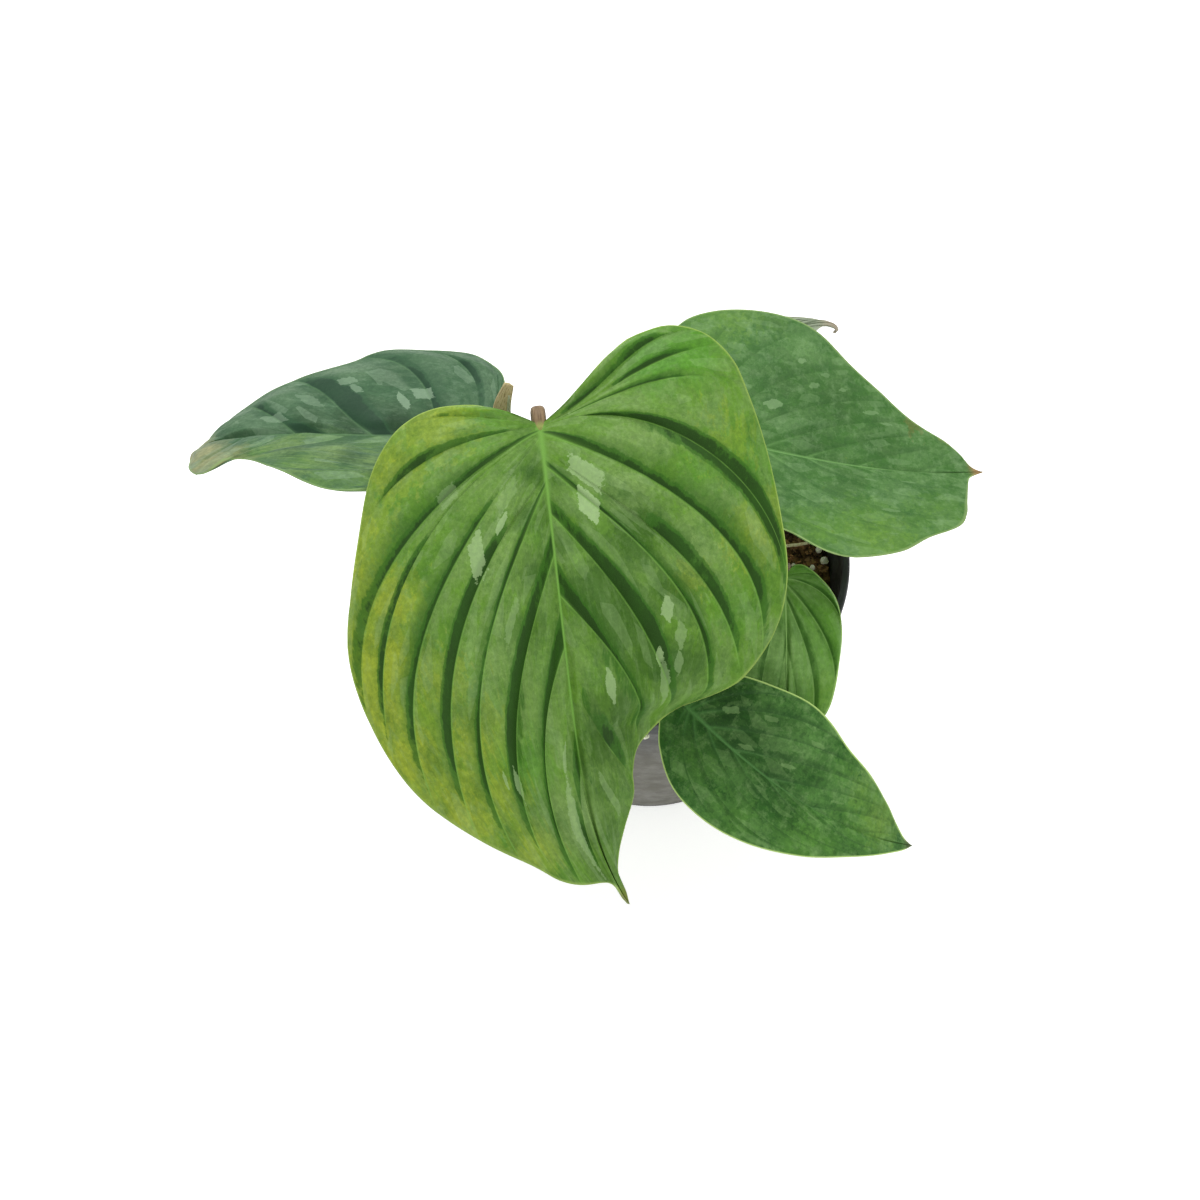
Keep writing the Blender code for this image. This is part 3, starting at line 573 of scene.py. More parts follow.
def leaf_material(key, leaf):
    """The upper face: green washes, painted shade in the creases and flanks, veins and silver
    marks.
    """
    paint = leaf_colours(key)
    graph = Graph("leaf_" + key)
    flat = graph.attribute("flat", "Vector")
    strip = graph.attribute("strip", "Vector")
    streak = graph.centred(graph.noise(graph.stretch(strip, 5.0, 0.9, 1.0), 1.0, 4.0, 0.6))
    fine = graph.noise(flat, 6.0, 5.0, 0.65)
    wash = graph.noise(graph.stretch(strip, 1.5, 0.55, 1.0), 1.0, 5.0, 0.72)
    cloud = graph.noise(flat, 0.8, 5.0, 0.68)
    jag = graph.centred(graph.noise(graph.stretch(strip, 3.0, 2.2, 1.0), 1.0, 4.0, 0.7))
    graph.painted = paint["mid"]
    graph.cover(graph.stepped(wash, (0.46, 0.53, 0.60), 0.02, 0.75), paint["light"])
    grey = graph.ragged("grey", jag, 0.7)
    graph.cover(graph.stepped(grey, (0.18, 0.40, 0.60), 0.05, 0.85), paint["light"])
    tan_reach = 0.95 if has_lines(leaf) else 0.6
    for name, reach, own_paint in (("fresh", 0.85, "fresh"), ("yellow", 0.85, "yellow"),
                                   ("tan", tan_reach, "tip")):
        place = graph.ragged(name, jag, 0.9)
        graph.cover(graph.stepped(place, (0.15, 0.36, 0.58), 0.08, reach), paint[own_paint])
    graph.cover(graph.stepped(cloud, (0.50, 0.57, 0.64), 0.02, 0.5), paint["shadow"])
    # Painted shade: soft marks that multiply the colour darker where shade falls.
    painted_shade = graph.ragged("painted_shade", graph.centred(wash), 1.1)
    graph.cover(graph.stepped(painted_shade, (0.16, 0.36, 0.56), 0.06, 1.0),
                (0.44, 0.52, 0.42, 1.0), "MULTIPLY")
    grain = (3.0, 2.0, 1.0) if has_lines(leaf) else (1.7, 1.2, 1.0)
    flecks = graph.noise(graph.stretch(strip, *grain), 1.0, 5.0, 0.72)
    graph.cover(graph.stepped(flecks, (0.53, 0.60, 0.67), 0.015, leaf["flecks"]),
                paint["silver"])
    graph.cover(graph.span(flecks, 0.38, 0.42, 0.7 * leaf["flecks"], 0.0), paint["dark"])
    # Painted shade on each panel's steep flank, the side that faces away from the key light.
    painted_flank_shade = graph.ragged("flank_shade", jag, 0.5)
    graph.cover(graph.span(painted_flank_shade, 0.10, 0.95, 0.0, 0.65 * leaf["tone"]), paint["shadow"])
    # Painted shade in each crease, in the shadow colour and then the dark one.
    crease_shade = graph.ragged("shade", jag, 0.7)
    graph.cover(graph.span(crease_shade, 0.17, 0.30, 0.0, 0.75 * leaf["tone"]), paint["shadow"])
    graph.cover(graph.span(crease_shade, 0.40, 0.54, 0.0, 0.95 * leaf["tone"]), paint["dark"])
    graph.cover(graph.stepped(wash, (0.47, 0.55, 0.63), 0.02, 0.42 * leaf["tone"]),
                paint["shadow"])
    torn = graph.centred(graph.noise(flat, 5.5, 4.0, 0.7))
    patch = graph.ragged("silver", torn, 1.1)
    veil = graph.times(graph.span(patch, 0.0, 0.07), graph.attribute("silver_strength"))
    veil = graph.times(veil, graph.span(fine, 0.25, 0.65, 0.7, 1.0))
    graph.cover(veil, paint["silver"])
    blocks = graph.cells(graph.stretch(strip, 3.4, 0.8, 1.0), 1.0)
    speck = graph.times(graph.span(blocks, 0.74, 0.76), graph.attribute("specks"))
    graph.cover(speck, paint["silver"])
    graph.cover(graph.span(fine, 0.35, 0.62, 0.0, 0.22), paint["dark"])
    worn = graph.span(streak, -0.16, 0.06, 0.35, 1.0)
    line = graph.span(graph.attribute("vein_mm"), 0.10, 0.50, leaf["line"], 0.0)
    graph.cover(graph.times(line, worn), paint["rib"])
    graph.cover(graph.attribute("rib"), paint["rib"])
    graph.cover(graph.attribute("edge"), paint["edge"])
    graph.cover(graph.attribute("tip"), paint["tip"])
    relief = graph.math("MULTIPLY_ADD", streak, 0.8, graph.noise(flat, 9.0, 4.0))
    graph.bump(relief, 0.00014, 0.5)
    return graph.finish(graph.span(fine, 0.3, 0.7, 0.50, 0.62), 0.16)


def underside_material(key):
    """The lower face: paler and duller, with raised pale veins."""
    paint = leaf_colours(key)
    graph = Graph("leaf_underside_" + key)
    flat = graph.attribute("flat", "Vector")
    fine = graph.noise(flat, 4.0, 4.0)
    graph.painted = paint["light"]
    graph.cover(graph.span(fine, 0.3, 0.75), paint["silver"])
    graph.cover(0.4, paint["mid"])
    graph.cover(graph.span(graph.attribute("vein_mm"), 0.2, 0.9, 0.7, 0.0), paint["edge"])
    graph.cover(graph.attribute("rib"), paint["edge"])
    graph.bump(graph.noise(flat, 8.0, 4.0), 0.00015, 0.6)
    return graph.finish(0.62, 0.2)


# Soft marks on the blades: a and b of the middle and the size in millimetres, then strength.
# The marks that darken a blade are painted shade, beside the midrib and over its shaded parts.
SOFT_MARKS = {
    "front": {
        "yellow": ((74, -61, 13, 0.95), (56, -57, 12, 0.75), (92, -62, 13, 0.75),
                   (106, -56, 14, 0.75), (122, -42, 15, 0.7), (8, -52, 13, 0.6),
                   (30, -66, 14, 0.55), (48, 66, 12, 0.4), (58, 44, 8, 0.35),
                   (138, -22, 10, 0.5), (66, -72, 12, 0.6), (104, -34, 14, 0.5),
                   (84, -44, 13, 0.45), (-6, -36, 16, 0.6), (44, -70, 14, 0.7),
                   (84, -66, 12, 0.8), (120, -28, 10, 0.55), (14, 62, 16, 0.25),
                   (40, 74, 12, 0.35)),
        "fresh": ((-19, 42, 12, 0.9), (-20, 54, 12, 0.9), (-8, -26, 16, 0.5), (2, -44, 12, 0.4),
                  (20, 68, 14, 0.5), (90, -50, 10, 0.3), (72, 58, 10, 0.4), (112, -22, 12, 0.7),
                  (24, 52, 10, 0.4)),
        "painted_shade": ((42, 28, 13, 0.9), (67, 18, 12, 0.9), (64, 38, 10, 0.8), (84, 28, 12, 0.85),
                (99, 14, 12, 0.7), (112, 12, 10, 0.6), (40, 5, 8, 0.6), (50, -8, 9, 0.6),
                (70, -9, 9, 0.5), (152, -2, 9, 0.4), (20, 4, 7, 0.5), (140, 6, 9, 0.5),
                (18, -4, 7, 0.6), (32, -5, 7, 0.7), (86, 40, 9, 0.7), (60, 7, 9, 0.8),
                (72, 22, 12, 0.9), (56, 15, 9, 0.8), (112, 7, 10, 0.85), (124, 6, 8, 0.6)),
        "grey": ((45, -20, 14, 0.5), (80, -22, 18, 0.5), (108, -20, 16, 0.6), (24, -16, 10, 0.4),
                 (28, 26, 10, 0.6), (50, 47, 12, 0.6), (12, 34, 12, 0.4), (36, 54, 10, 0.45),
                 (118, 6, 12, 0.3), (20, -34, 10, 0.35), (66, 26, 8, 0.3), (132, -8, 12, 0.7)),
    },
    "left": {
        "yellow": ((50, 20, 8, 0.6), (66, 14, 8, 0.6), (34, 26, 9, 0.5), (60, 32, 6, 0.5)),
        "fresh": ((30, 40, 14, 0.9), (46, 38, 12, 0.9), (60, 28, 10, 0.8), (76, 17, 9, 0.7),
                  (24, 13, 9, 0.7), (38, 9, 8, 0.8), (52, 8, 8, 0.8), (66, 7, 7, 0.7)),
        "painted_shade": ((46, -8, 10, 0.95), (36, -30, 8, 0.5), (60, -22, 7, 0.5), (30, -6, 9, 0.8),
                (64, -5, 9, 0.7), (18, -14, 8, 0.5), (44, 22, 6, 0.6), (26, 28, 6, 0.5),
                (62, 17, 5, 0.5), (34, 34, 5, 0.4)),
        "grey": ((80, -14, 14, 0.6), (58, -34, 12, 0.6), (24, -36, 12, 0.5), (60, 8, 18, 0.5)),
        "tan": ((90, 26, 12, 1.0), (99, 12, 9, 0.9), (112, 3, 9, 0.8), (84, 16, 6, 0.5)),
    },
    "back_right": {
        "yellow": ((4, 56, 10, 0.4), (64, -36, 12, 0.4), (97, 22, 6, 0.6)),
        "fresh": ((-6, 48, 14, 0.6), (18, 58, 10, 0.3), (62, -34, 16, 0.7), (44, -38, 12, 0.7),
                  (86, -22, 12, 0.4)),
        "painted_shade": ((30, 30, 16, 0.4), (50, 26, 16, 0.45), (44, 8, 12, 0.4), (70, 12, 12, 0.35),
                (56, -10, 12, 0.3), (20, 60, 12, 0.3)),
        "grey": ((34, 48, 12, 0.5), (84, 4, 10, 0.4), (72, -14, 10, 0.4)),
        "tan": ((86, 20, 6, 0.25), (101, 15, 4, 0.35)),
    },
    "lower_right": {
        "yellow": ((88, 6, 9, 0.7), (76, 14, 8, 0.4)),
        "fresh": ((82, 8, 14, 0.7), (62, -14, 12, 0.7), (36, -20, 10, 0.5), (16, -12, 9, 0.5),
                  (66, 18, 8, 0.4)),
        "painted_shade": ((10, 10, 13, 0.8), (22, 8, 12, 0.6), (40, 6, 10, 0.5), (8, -10, 9, 0.4),
                (52, 12, 8, 0.4), (34, 20, 7, 0.4), (50, -6, 8, 0.4)),
        "grey": ((44, 18, 12, 0.6), (30, -8, 9, 0.4), (64, 10, 12, 0.5), (24, 20, 8, 0.4)),
    },
    "small": {
        "yellow": ((44, 14, 8, 0.4),),
        "fresh": ((16, 14, 10, 0.6), (30, 17, 8, 0.5)),
        "painted_shade": ((22, 5, 5, 0.4),),
        "grey": ((30, -8, 16, 1.0), (20, -14, 10, 0.7), (34, 9, 9, 0.5)),
    },
    "hidden_back": {},
}
# Silver marks: a and b of the middle, half width, half length in millimetres, and strength.
SILVER_MARKS = {
    "front": ((19, 14, 3, 7, 0.75), (31, 13, 3.6, 5, 0.95), (68, 35, 2.6, 3, 0.75),
              (77, 38, 2.4, 3, 0.4), (83, 31, 1.6, 1.8, 0.85), (86, 37, 2, 2.5, 0.4),
              (92, 31, 3, 4, 0.45), (91, 13, 3, 3, 0.7), (43, -25, 5.2, 4.2, 0.75),
              (34, -17, 1.5, 3.5, 0.85), (25, -13, 3.0, 6, 0.25), (118, -21, 1.7, 3.5, 0.6),
              (116, -25, 1.1, 2.2, 0.6), (112, -5, 1.5, 5.5, 0.5), (133, -6, 3.6, 11, 0.5),
              (66, -17, 2, 7, 0.3), (22, -34, 3, 4, 0.35), (128, 8, 2, 9, 0.3)),
    "left": ((29, -17, 2, 5.5, 0.8), (24, -22, 3, 3.5, 0.75), (48, -23, 1.8, 3, 0.55),
             (52, -27, 3.4, 2.5, 0.5), (78, -8, 4, 3.5, 0.45), (66, -16, 3, 5, 0.35)),
    "back_right": ((25, 20, 2.6, 3, 0.55), (34, 42, 1.6, 2, 0.5), (41, 32, 1.8, 2.5, 0.35),
                   (46, 37, 1.5, 2, 0.3), (54, 32, 1.2, 2, 0.4), (67, 23, 1.5, 3.5, 0.4),
                   (73, 19, 1.3, 2, 0.4), (64, -7, 1.2, 2, 0.3), (79, -6, 1.2, 2, 0.3),
                   (70, -22, 1, 2.5, 0.3)),
    "lower_right": ((13, 10, 1.8, 3, 0.5), (26, 4, 1.5, 2.5, 0.45), (27, 17, 1.5, 3, 0.4),
                    (42, 8, 1.6, 3, 0.45), (48, 20, 1.5, 3, 0.4), (36, -3, 1.2, 2.5, 0.3),
                    (60, -3, 1.2, 3, 0.3), (66, 6, 1.2, 3, 0.3)),
}
SPECKS = {"front": 0.14, "left": 0.26, "back_right": 0.16, "lower_right": 0.18, "small": 0.15,
          "hidden_back": 0.2}
# Where a blade's tip turns brown or olive: millimetres from its point.
TIP_LENGTH = {"front": 9, "left": 26, "back_right": 7, "lower_right": 6, "small": 4,
              "hidden_back": 14}


def soft_marks(key, name, a, b):
    """How strongly a kind of soft mark colours each flat point."""
    total = np.zeros_like(a)
    for centre_a, centre_b, size, strength in SOFT_MARKS[key].get(name, ()):
        away = np.hypot(a * 1000 - centre_a, b * 1000 - centre_b) / size
        total = np.maximum(total, strength * np.exp(-away ** 2))
    return total


def silver_marks(key, a, b, row, run, spacing):
    """How far inside a silver mark each flat point is, and the strength of that mark."""
    inside = np.full_like(a, -1.0)
    strength = np.zeros_like(a)
    for centre_a, centre_b, half_width, half_length, own_strength in SILVER_MARKS.get(key, ()):
        same_side = np.sign(b) == np.sign(centre_b)
        reach = np.hypot(a * 1000 - centre_a, b * 1000 - centre_b)
        nearest = np.argmin(np.where(same_side, reach, 1e9))
        across = np.abs(row - row.flat[nearest]) * spacing * 1000 / half_width
        lengthways = np.abs(run - run.flat[nearest]) * 1000 / half_length
        own = np.where(same_side, 1 - np.maximum(across, lengthways), -1.0)
        strength = np.where(own > inside, own_strength, strength)
        inside = np.maximum(inside, own)
    return inside, strength


def margin_gap(leaf, side_name, side, a, b):
    """Distance from each flat point to the margin."""
    curve = margin_curve(leaf, side_name, side, 1200)
    rows = [np.hypot(x[:, None] - curve[:, 0], y[:, None] - curve[:, 1]).min(axis=1)
            for x, y in zip(a, b)]
    return np.array(rows)


def rib_marks(leaf, share, b, step, vein_mm):
    """How plainly the midrib shows at each point, and how deep its groove is."""
    scale = leaf["length"] / 0.16
    away = np.abs(b) * 1000
    width = (1.3 * np.exp(-share / 0.15) + 0.38) * scale * leaf["rib"]
    rib = smooth_step((width - away) / (0.5 * width) + 0.5)
    rib = rib * (1 - 0.8 * smooth_step((share - 0.55) / 0.20))
    wedge = np.exp(-(vein_mm / 0.8) ** 2) * (1 - smooth_step((step - 0.02) / 0.22))
    groove = GROOVE_DEPTH * scale * np.exp(-(away / (width * 1.6)) ** 2) * (1 - share)
    return np.maximum(rib, 0.5 * wedge), groove


def sheet_thickness(leaf, share, b, step, to_margin, vein_mm):
    """How thick the sheet is at each point."""
    scale = leaf["length"] / 0.16
    taper = 1 - smooth_step((step - 0.1) / 0.9)
    return (MARGIN_THICKNESS + BODY_EXTRA * smooth_step(to_margin / 0.003)
            + RIB_EXTRA * scale * (1 - share) ** 0.5 * np.exp(-(np.abs(b) * 1000 / 1.5) ** 2)
            + VEIN_EXTRA * taper * np.exp(-(vein_mm / 0.7) ** 2) * smooth_step(step / 0.05))


def half_blade(leaf, key, side_name, side):
    """One half of a blade as grids: upper and lower points, and what its material reads."""
    places = PANEL_PLACES if leaf["steps"] > 50 else FEWER_PLACES
    count = len(half_of(leaf["veins"], side)) - 1
    rows = np.array([number + place for number in range(count) for place in places] + [count])
    shares = np.linspace(0, 1, leaf["steps"] + 1)
    shares = shares - END_CROWDING * np.sin(2 * pi * shares) / (2 * pi)
    row, step = np.meshgrid(rows, shares, indexing="ij")
    flat = vein_point(leaf, side_name, side, row, step)
    a = flat[..., 0]
    b = np.where(step == 0, side * SEAM, flat[..., 1])
    b = side * np.maximum(side * b, SEAM)
    height, shade, flank_shade, vein_mm, spacing = pleats(leaf, side_name, side, row, step)
    point = bent(leaf, a, b, side)[0]
    up = surface_up(leaf, a, b, side)
    gone = np.linalg.norm(np.diff(flat, axis=1), axis=-1)
    run = np.concatenate([np.zeros((len(rows), 1)), np.cumsum(gone, axis=1)], axis=1)
    share = np.clip(a / leaf["length"], 0, 1)
    rib, groove = rib_marks(leaf, share, b, step, vein_mm)
    upper = point + up * (height - groove)[..., None]
    thickness = sheet_thickness(leaf, share, b, step, run[:, -1:] - run, vein_mm)
    lower = upper - up * thickness[..., None]
    silver, silver_strength = silver_marks(key, a, b, row, run, spacing)
    tip = smooth_step((TIP_LENGTH[key] - (leaf["length"] - a) * 1000) / (0.6 * TIP_LENGTH[key]))
    strip = np.stack([row, run * 100, np.full_like(row, side * 5.0)], axis=-1)
    if not has_lines(leaf):
        strip = np.stack([b * 100, a * 160, np.full_like(row, side * 5.0)], axis=-1)
    gap = margin_gap(leaf, side_name, side, a, b) * 1000 / half_of(leaf["margin"], side)
    edge = 0.85 * (1 - smooth_step((gap - 0.4) / 0.6))
    values = {"shade": shade, "flank_shade": flank_shade, "vein_mm": vein_mm, "rib": rib, "edge": edge,
              "silver": silver, "silver_strength": silver_strength, "tip": tip * 0.85,
              "specks": SPECKS[key] * (shade < 0.2)}
    for name in ("yellow", "fresh", "painted_shade", "grey", "tan"):
        values[name] = soft_marks(key, name, a, b)
    vectors = {"flat": np.stack([a * 100, b * 100, np.zeros_like(a)], axis=-1), "strip": strip}
    return upper, lower, a, values, vectors


def zip_lines(first, second, places_first, places_second, faces, turned_over, slot):
    """Join two lines of vertices, each with places along the midrib, with triangles."""
    i = 0
    j = 0
    while i < len(first) - 1 or j < len(second) - 1:
        step_first = j == len(second) - 1 or (
            i < len(first) - 1 and places_first[i + 1] <= places_second[j + 1])
        if step_first:
            face = [first[i], second[j], first[i + 1]]
            i += 1
        else:
            face = [first[i], second[j], second[j + 1]]
            j += 1
        faces.append((face[::-1] if turned_over else face, slot))


def grid_faces(grid, faces, turned_over, slot):
    for r in range(grid.shape[0] - 1):
        for c in range(grid.shape[1] - 1):
            face = [grid[r, c], grid[r + 1, c], grid[r + 1, c + 1], grid[r, c + 1]]
            faces.append((face[::-1] if turned_over else face, slot))


def smoothed(mesh, merged=False):
    """Turn a mesh's faces outward and shade it smooth, with its seams merged if asked."""
    form = bmesh.new()
    form.from_mesh(mesh)
    if merged:
        bmesh.ops.remove_doubles(form, verts=form.verts, dist=0.000004)
        bmesh.ops.dissolve_degenerate(form, edges=form.edges, dist=0.000002)
    bmesh.ops.recalc_face_normals(form, faces=form.faces)
    form.to_mesh(mesh)
    form.free()
    mesh.shade_smooth()


def add_vectors(mesh, name, vectors):
    """Give each vertex of a mesh a vector that its material reads."""
    made = mesh.attributes.new(name, "FLOAT_VECTOR", "POINT")
    made.data.foreach_set("vector", np.array(vectors, np.float32).ravel())


def make_leaf(key, leaf):
    """A whole blade as one pleated sheet, closed but for a slit of about 1 mm at its tip."""
    points = []
    faces = []
    values = {}
    vectors = {}
    lines = {}
    for side_name, side in SIDES:
        upper, lower, a, own_values, own_vectors = half_blade(leaf, key, side_name, side)
        size = upper.shape[0] * upper.shape[1]
        base = sum(len(part) for part in points)
        top = np.arange(size).reshape(upper.shape[:2]) + base
        under = top + size
        points += [upper.reshape(-1, 3), lower.reshape(-1, 3)]
        for name, grid in own_values.items():
            values.setdefault(name, []).extend([grid.ravel(), grid.ravel()])
        for name, grid in own_vectors.items():
            vectors.setdefault(name, []).extend([grid.reshape(-1, 3)] * 2)
        grid_faces(top, faces, side > 0, 0)
        grid_faces(under, faces, side < 0, 1)
        grid_faces(np.stack([top[:, -1], under[:, -1]], axis=1), faces, side > 0, 2)
        grid_faces(np.stack([top[0], under[0]], axis=1), faces, side < 0, 2)
        lines[side] = (top[:, 0], under[:, 0], a[:, 0])
    left_top, left_under, left_a = lines[1]
    right_top, right_under, right_a = lines[-1]
    zip_lines(right_top, left_top, right_a, left_a, faces, True, 0)
    zip_lines(right_under, left_under, right_a, left_a, faces, False, 1)
    faces.append(([right_top[0], left_top[0], left_under[0], right_under[0]], 2))
    mesh = bpy.data.meshes.new("leaf_" + key + "_blade")
    corners = [[int(vertex) for vertex in face] for face, _ in faces]
    mesh.from_pydata(np.vstack(points).tolist(), [], corners)
    for name, parts in values.items():
        made = mesh.attributes.new(name, "FLOAT", "POINT")
        made.data.foreach_set("value", np.concatenate(parts).astype(np.float32))
    for name, parts in vectors.items():
        add_vectors(mesh, name, np.vstack(parts))
    for finish in (leaf_material(key, leaf), underside_material(key)):
        mesh.materials.append(finish)
    mesh.materials.append(mesh.materials[0])
    mesh.polygons.foreach_set("material_index", [slot for _, slot in faces])
    smoothed(mesh, merged=True)
    added("leaf_" + key + "_blade", mesh, "leaf_" + key)


def linked(name, data):
    """A new object in the scene that shows a mesh, a lamp or a camera."""
    made = bpy.data.objects.new(name, data)
    bpy.context.scene.collection.objects.link(made)
    return made


def added(name, mesh, node):
    """Put a finished mesh in the scene in place of its CAD node."""
    made = linked(name, mesh)
    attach(made, "root")
    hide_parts(node)


def sweep(name, route, radii, sides, flatness, finish, node, count=48,
          facing=None, corners=1.0):
    """A rod swept along a smooth route; radii are (share of the length, radius) pairs.

    Its section is flattened in the direction that it faces, or else in the one that begins
    upright and follows the route.  A low value of corners makes the section squarer.
    """
    line = smooth_curve(route, count)
    ahead = unit(np.gradient(line, axis=0))
    side = unit(np.cross(ahead[0], (0.0, 0.0, 1.0)))
    shares = np.linspace(0, 1, count)
    sizes = np.interp(shares, [r[0] for r in radii], [r[1] for r in radii])
    points = []
    flats = []
    gone = 0.0
    for index in range(count):
        if facing:
            side = unit(np.cross(ahead[index], facing))
        side = unit(side - ahead[index] * (side @ ahead[index]))
        up = np.cross(side, ahead[index])
        if index:
            gone += float(np.linalg.norm(line[index] - line[index - 1]))
        for corner in range(sides):
            turn = 2 * pi * corner / sides
            wide = np.sign(cos(turn)) * abs(cos(turn)) ** corners
            tall = np.sign(sin(turn)) * abs(sin(turn)) ** corners * flatness
            points.append(line[index] + sizes[index] * (wide * side + tall * up))
            flats.append((sizes[index] * 100 * cos(turn), sizes[index] * 100 * sin(turn),
                          gone * 100))
    faces = []
    for index in range(count - 1):
        for corner in range(sides):
            here = index * sides
            after = (corner + 1) % sides
            faces.append([here + corner, here + after, here + sides + after,
                          here + sides + corner])
    for ring, outward in ((0, -1), (count - 1, 1)):
        centre = len(points)
        points.append(line[ring] + outward * ahead[ring] * sizes[ring] * 0.35)
        flats.append((0.0, 0.0, flats[ring * sides][2]))
        for corner in range(sides):
            pair = [ring * sides + corner, ring * sides + (corner + 1) % sides]
            faces.append([centre] + (pair if outward > 0 else pair[::-1]))
    mesh = bpy.data.meshes.new(name)
    mesh.from_pydata([tuple(p) for p in points], [], faces)
    add_vectors(mesh, "flat", flats)
    mesh.materials.append(finish)
    smoothed(mesh)
    added(name, mesh, node)


def skin(graph, streak, dots, tones, spot_edges, relief):
    """Streaks from one tone to another, with spots of the third, on a graph's material."""
    first, second, spots = tones
    graph.two_tone(streak, 0.35, 0.65, first, second)
    graph.cover(graph.span(dots, *spot_edges), tint(*spots))
    graph.bump(graph.plus(streak, dots), *relief)


def stalk_skin(name, tones, rough, streaks=1.0, spot_reach=0.75, young=None):
    """Skin of a swept piece, with fine streaks along it and small dark spots.

    Where a young tone is given, the skin turns to it at the piece's first end.
    """
    graph = Graph(name)
    flat = graph.attribute("flat", "Vector")
    streak = graph.noise(graph.stretch(flat, 14.0 * streaks, 14.0 * streaks, 1.3), 1.0, 4.0)
    dots = graph.noise(graph.stretch(flat, 22.0, 22.0, 9.0), 1.0, 2.0)
    skin(graph, streak, dots, tones, (0.60, 0.68, 0.0, spot_reach), (0.00015, 0.7))
    if young:
        run = graph.math("MULTIPLY_ADD", graph.centred(streak), 0.3, graph.third(flat))
        graph.cover(graph.span(run, 0.10, 0.38, 1.0, 0.0), tint(*young))
    return graph.finish(rough, 0.3)


def woody_skin(name, tones, rough):
    """Skin of the stem, the root and the bark, with coarser streaks and spots."""
    graph = Graph(name)
    place = graph.place()
    streak = graph.noise(graph.stretch(place, 900.0, 900.0, 120.0), 1.0, 4.0)
    skin(graph, streak, graph.noise(place, 700.0, 3.0), tones, (0.58, 0.7, 0.0, 0.8),
         (0.0003, 0.8))
    return graph.finish(rough, 0.25)


def make_petiole(key, leaf):
    """A leaf stalk from the stem to the underside of its blade."""
    turn = radians(leaf["stem_angle"])
    outward = np.array([cos(turn), sin(turn), 0.0])
    axis = np.array([STEM_X, STEM_Y, leaf["stem_height"]])
    base = axis + outward * (STEM_RADIUS - 0.0006)
    heading = radians(leaf["heading"])
    dip = radians(leaf["dip"][0])
    forward = np.array([cos(dip) * cos(heading), cos(dip) * sin(heading), -sin(dip)])
    joint = np.array(leaf["joint"])
    end = joint + forward * 0.0012 - np.array([0.0, 0.0, RIB_THICKNESS])
    size = min(1.0, 0.55 + 0.45 * leaf["length"] / 0.15)
    knee = end - forward * 0.0072 * size - np.array([0.0, 0.0, 0.0002])
    below = knee - np.array([0.0, 0.0, leaf["rise"] * 0.35]) - forward * 0.0025
    near_stem = base + outward * PETIOLE_LEVEL_RUN
    middle = (near_stem + below) / 2 + outward * leaf["rise"] * PETIOLE_BOW
    route = [end, knee, below, middle, near_stem, base]
    full = PETIOLE_RADIUS * size
    radii = ((0, full * 0.85), (0.03, full * 1.02), (0.10, full * 1.04), (0.2, full),
             (0.7, full * 1.08), (0.92, full * 1.3), (1, full * 1.5))
    sweep("petiole_" + key + "_stalk", route, radii, 32, 0.92, PETIOLE_SKIN, "petiole_" + key,
          64, corners=0.72)


def wall_radius(height):
    """Outer radius of the pot's tapered wall."""
    shoulder = POT_HEIGHT - LIP_HEIGHT
    top_radius = POT_RIM_RADIUS - LIP_OVERHANG
    return POT_BASE_RADIUS + (top_radius - POT_BASE_RADIUS) * height / shoulder


def turned(name, profile, steps, finish):
    """A solid of revolution about Z: profile holds (radius, height) points."""
    mesh = bpy.data.meshes.new(name)
    points = [(radius, 0.0, height) for radius, height in profile]
    mesh.from_pydata(points, [(index, index + 1) for index in range(len(points) - 1)], [])
    made = linked(name, mesh)
    mesh.materials.append(finish)
    screw = made.modifiers.new("turn", "SCREW")
    screw.steps = steps
    screw.render_steps = steps
    screw.use_merge_vertices = True
    screw.merge_threshold = 0.00005
    screw.use_smooth_shade = True
    return made


def applied(made):
    """Swap an object's mesh for its evaluated one, with the modifiers used up."""
    graph = bpy.context.evaluated_depsgraph_get()
    mesh = bpy.data.meshes.new_from_object(made.evaluated_get(graph))
    made.modifiers.clear()
    made.data = mesh
    return made


def arc(centre_radius, centre_height, size, start, stop, count):
    """Points of an arc in a turned profile; angles in degrees, 0 outward and 90 up."""
    points = []
    for step in range(count + 1):
        turn = radians(start + (stop - start) * step / count)
        points.append((centre_radius + size * cos(turn), centre_height + size * sin(turn)))
    return points


def pot_profile():
    """Up the inside, over the rounded lip and down the outside, with faint rings in the wall."""
    shoulder = POT_HEIGHT - LIP_HEIGHT
    inner = wall_radius(shoulder) - POT_WALL
    points = [(0.0, POT_FLOOR), (wall_radius(POT_FLOOR) - POT_WALL - 0.003, POT_FLOOR)]
    points += arc(wall_radius(POT_FLOOR) - POT_WALL - 0.002, POT_FLOOR + 0.002, 0.002, -90, 0, 4)
    for step in range(1, 24):
        height = POT_FLOOR + 0.002 + (shoulder - POT_FLOOR - 0.002) * step / 24
        points.append((wall_radius(height) - POT_WALL, height))
    points.append((inner, shoulder))
    points += arc(inner + 0.0010, POT_HEIGHT - 0.0007, 0.0007, 170, 90, 4)
    points += arc(POT_RIM_RADIUS - LIP_ROUND, POT_HEIGHT - LIP_ROUND, LIP_ROUND, 90, 0, 6)
    points.append((POT_RIM_RADIUS - 0.0001, shoulder + 0.0030))
    points += arc(POT_RIM_RADIUS - 0.0008, shoulder + 0.0012, 0.0008, 0, -80, 4)
    points.append((wall_radius(shoulder) + 0.0002, shoulder + 0.0002))
    for step in range(1, 40):
        height = shoulder * (1 - step / 40)
        ring = 0.00012 * (1 if step % 8 == 0 else 0)
        points.append((wall_radius(height) + ring, height))
    points += arc(wall_radius(0.001) - 0.0012, 0.0012, 0.0012, 0, -90, 4)
    points.append((0.0, 0.0))
    return points


